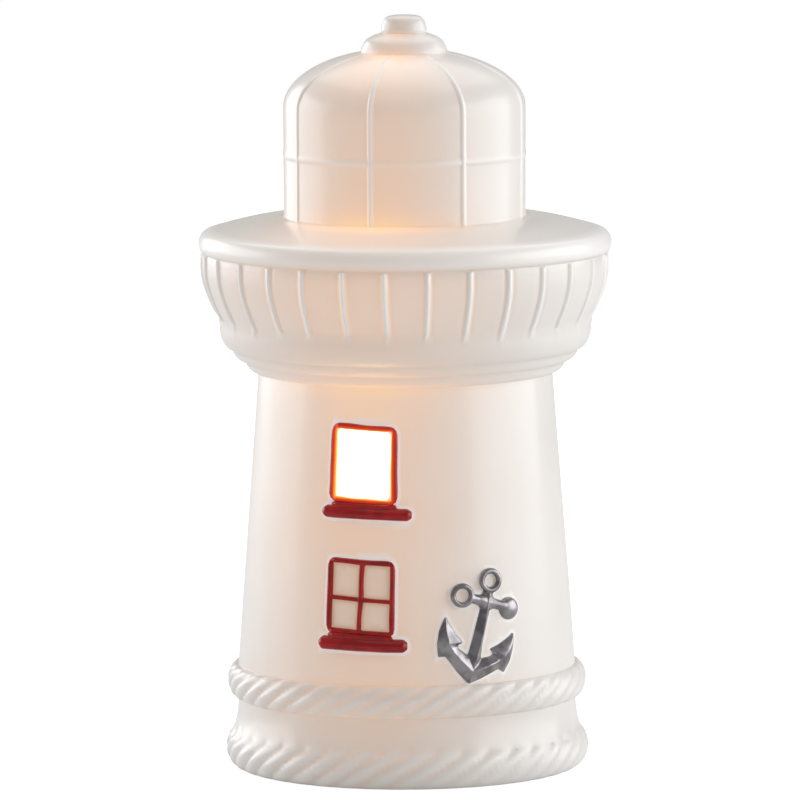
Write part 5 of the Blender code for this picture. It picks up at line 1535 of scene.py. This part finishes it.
@dataclass
class Studio:
    """A pale floor, a pale surround, soft boxes and the camera."""

    camera_azimuth: float = math.radians(16.3)
    camera_distance: float = 3.2
    camera_height: float = 0.52
    camera_target: float = 0.1316
    aside: float = 2.0 * MM
    lens: float = 404.4
    roll: float = math.radians(-0.27)
    floor_radius: float = 40.0
    floor_light: float = 0.14           # the floor's own light as the lamp gets it
    floor_seen: float = 0.80            # and as the camera sees it
    surround_light: float = 0.305       # the same two for the surround
    surround_seen: float = 1.0
    boxes: tuple[SoftBox, ...] = (
        SoftBox("box left", -100.0, 1.6, 0.32, 2.2, 1.4, 24.0),
        SoftBox("box right", 101.0, 1.6, 0.40, 2.2, 1.5, 25.0),
        SoftBox("box over", -165.0, 0.8, 1.8, 2.0, 2.0, 15.0),
        SoftBox("box fore", 5.0, 1.0, 2.2, 1.6, 1.2, 3.0),
    )

    def build_floor(self) -> None:
        """A wide, plain, pale floor."""
        bm = bmesh.new()
        bmesh.ops.create_circle(bm, cap_ends=True, segments=96, radius=self.floor_radius)
        mesh = bpy.data.meshes.new("floor")
        bm.to_mesh(mesh)
        bm.free()
        graph = Graph("Pale floor")
        mottle = graph.mottle(3.0, 40.0)
        graph.feed(graph.ramp(mottle.outputs["Cloud"], [(0.3, (0.60,) * 3), (0.7, (0.58,) * 3)]), "Base Color")
        seen = graph.nodes.new("ShaderNodeLightPath")
        light = graph.mix(seen.outputs["Is Camera Ray"], (self.floor_light,) * 3, (self.floor_seen,) * 3)
        graph.feed(light, "Emission Color")
        graph.set(Roughness=0.8, Specular_IOR_Level=0.2, Emission_Strength=1.0)
        mesh.materials.append(graph.material)
        floor = bpy.data.objects.new("floor", mesh)
        bpy.context.scene.collection.objects.link(floor)

    def build_world(self) -> None:
        """A white surround behind, which lights the lamp only faintly."""
        world = bpy.data.worlds.new("surround")
        world.use_nodes = True
        nodes, links = world.node_tree.nodes, world.node_tree.links
        seen = nodes.new("ShaderNodeLightPath")
        strength = nodes.new("ShaderNodeMix")
        strength.inputs["A"].default_value = self.surround_light
        strength.inputs["B"].default_value = self.surround_seen
        links.new(seen.outputs["Is Camera Ray"], strength.inputs["Factor"])
        links.new(strength.outputs["Result"], nodes["Background"].inputs["Strength"])
        nodes["Background"].inputs["Color"].default_value = (1.0, 1.0, 1.0, 1.0)
        bpy.context.scene.world = world

    def build_camera(self) -> None:
        """The camera, a little over the lamp and to the right of its windows."""
        data = bpy.data.cameras.new("camera")
        data.lens, data.sensor_width, data.clip_end = self.lens, 36.0, 200.0
        camera = bpy.data.objects.new("camera", data)
        camera.location = (self.camera_distance * math.sin(self.camera_azimuth),
                           -self.camera_distance * math.cos(self.camera_azimuth), self.camera_height)
        aside = -self.aside
        aim = Vector((aside * math.cos(self.camera_azimuth), aside * math.sin(self.camera_azimuth),
                      self.camera_target)) - camera.location
        turn = aim.to_track_quat("-Z", "Y").to_matrix() @ Matrix.Rotation(self.roll, 3, "Z")
        camera.rotation_euler = turn.to_euler()
        bpy.context.scene.collection.objects.link(camera)
        bpy.context.scene.camera = camera

    def build(self) -> None:
        """Sets the whole stage."""
        self.build_floor()
        self.build_world()
        for box in self.boxes:
            box.build()
        self.build_camera()
        bpy.context.scene.view_settings.view_transform = "Standard"


# ---------------------------------------------------------------- the whole lamp
def dress_nodes(materials: dict[str, bpy.types.Material]) -> None:
    """Gives each CAD node the finish of its own slot, which its packed material is named after."""
    for node in frame["nodes"].values():
        for holder in node.material_slots:
            slot = holder.material.name.partition(".")[0]
            holder.material = materials.get(slot, holder.material)


def main() -> None:
    """Builds the lamp and its studio."""
    logging.basicConfig(level=logging.INFO, format="%(name)s %(message)s")
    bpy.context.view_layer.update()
    materials = {slot: finish.build() for slot, finish in FINISHES.items()}
    dress_nodes(materials)
    casting = Casting()
    sprigs = Sprigs(casting)
    porcelain = Porcelain().build()
    finish_object("porcelain_casting", casting.build(sprigs), porcelain, "lighthouse",
                  ("lighthouse_shell",), sharp=60.0)
    # the upper frame's enamel carries the painted glow by the opening; the others a faint painted red glow
    lit = Enamel("Red enamel, lit through", lit=True).build()
    plain = Enamel("Red enamel").build()
    for name, bm in sprigs.meshes.items():
        if name == "anchor":
            finish_object("lustre_anchor", bm, materials["platinum_lustre"], "lighthouse",
                          (name,), sharp=70.0)
        else:
            red = lit if name == "upper_window_frame" else plain
            finish_object(name + "_enamel", bm, red, "lighthouse", (name,), sharp=80.0)
    LightUnit(materials).build()
    Studio().build()


if __name__ == "__main__":
    main()
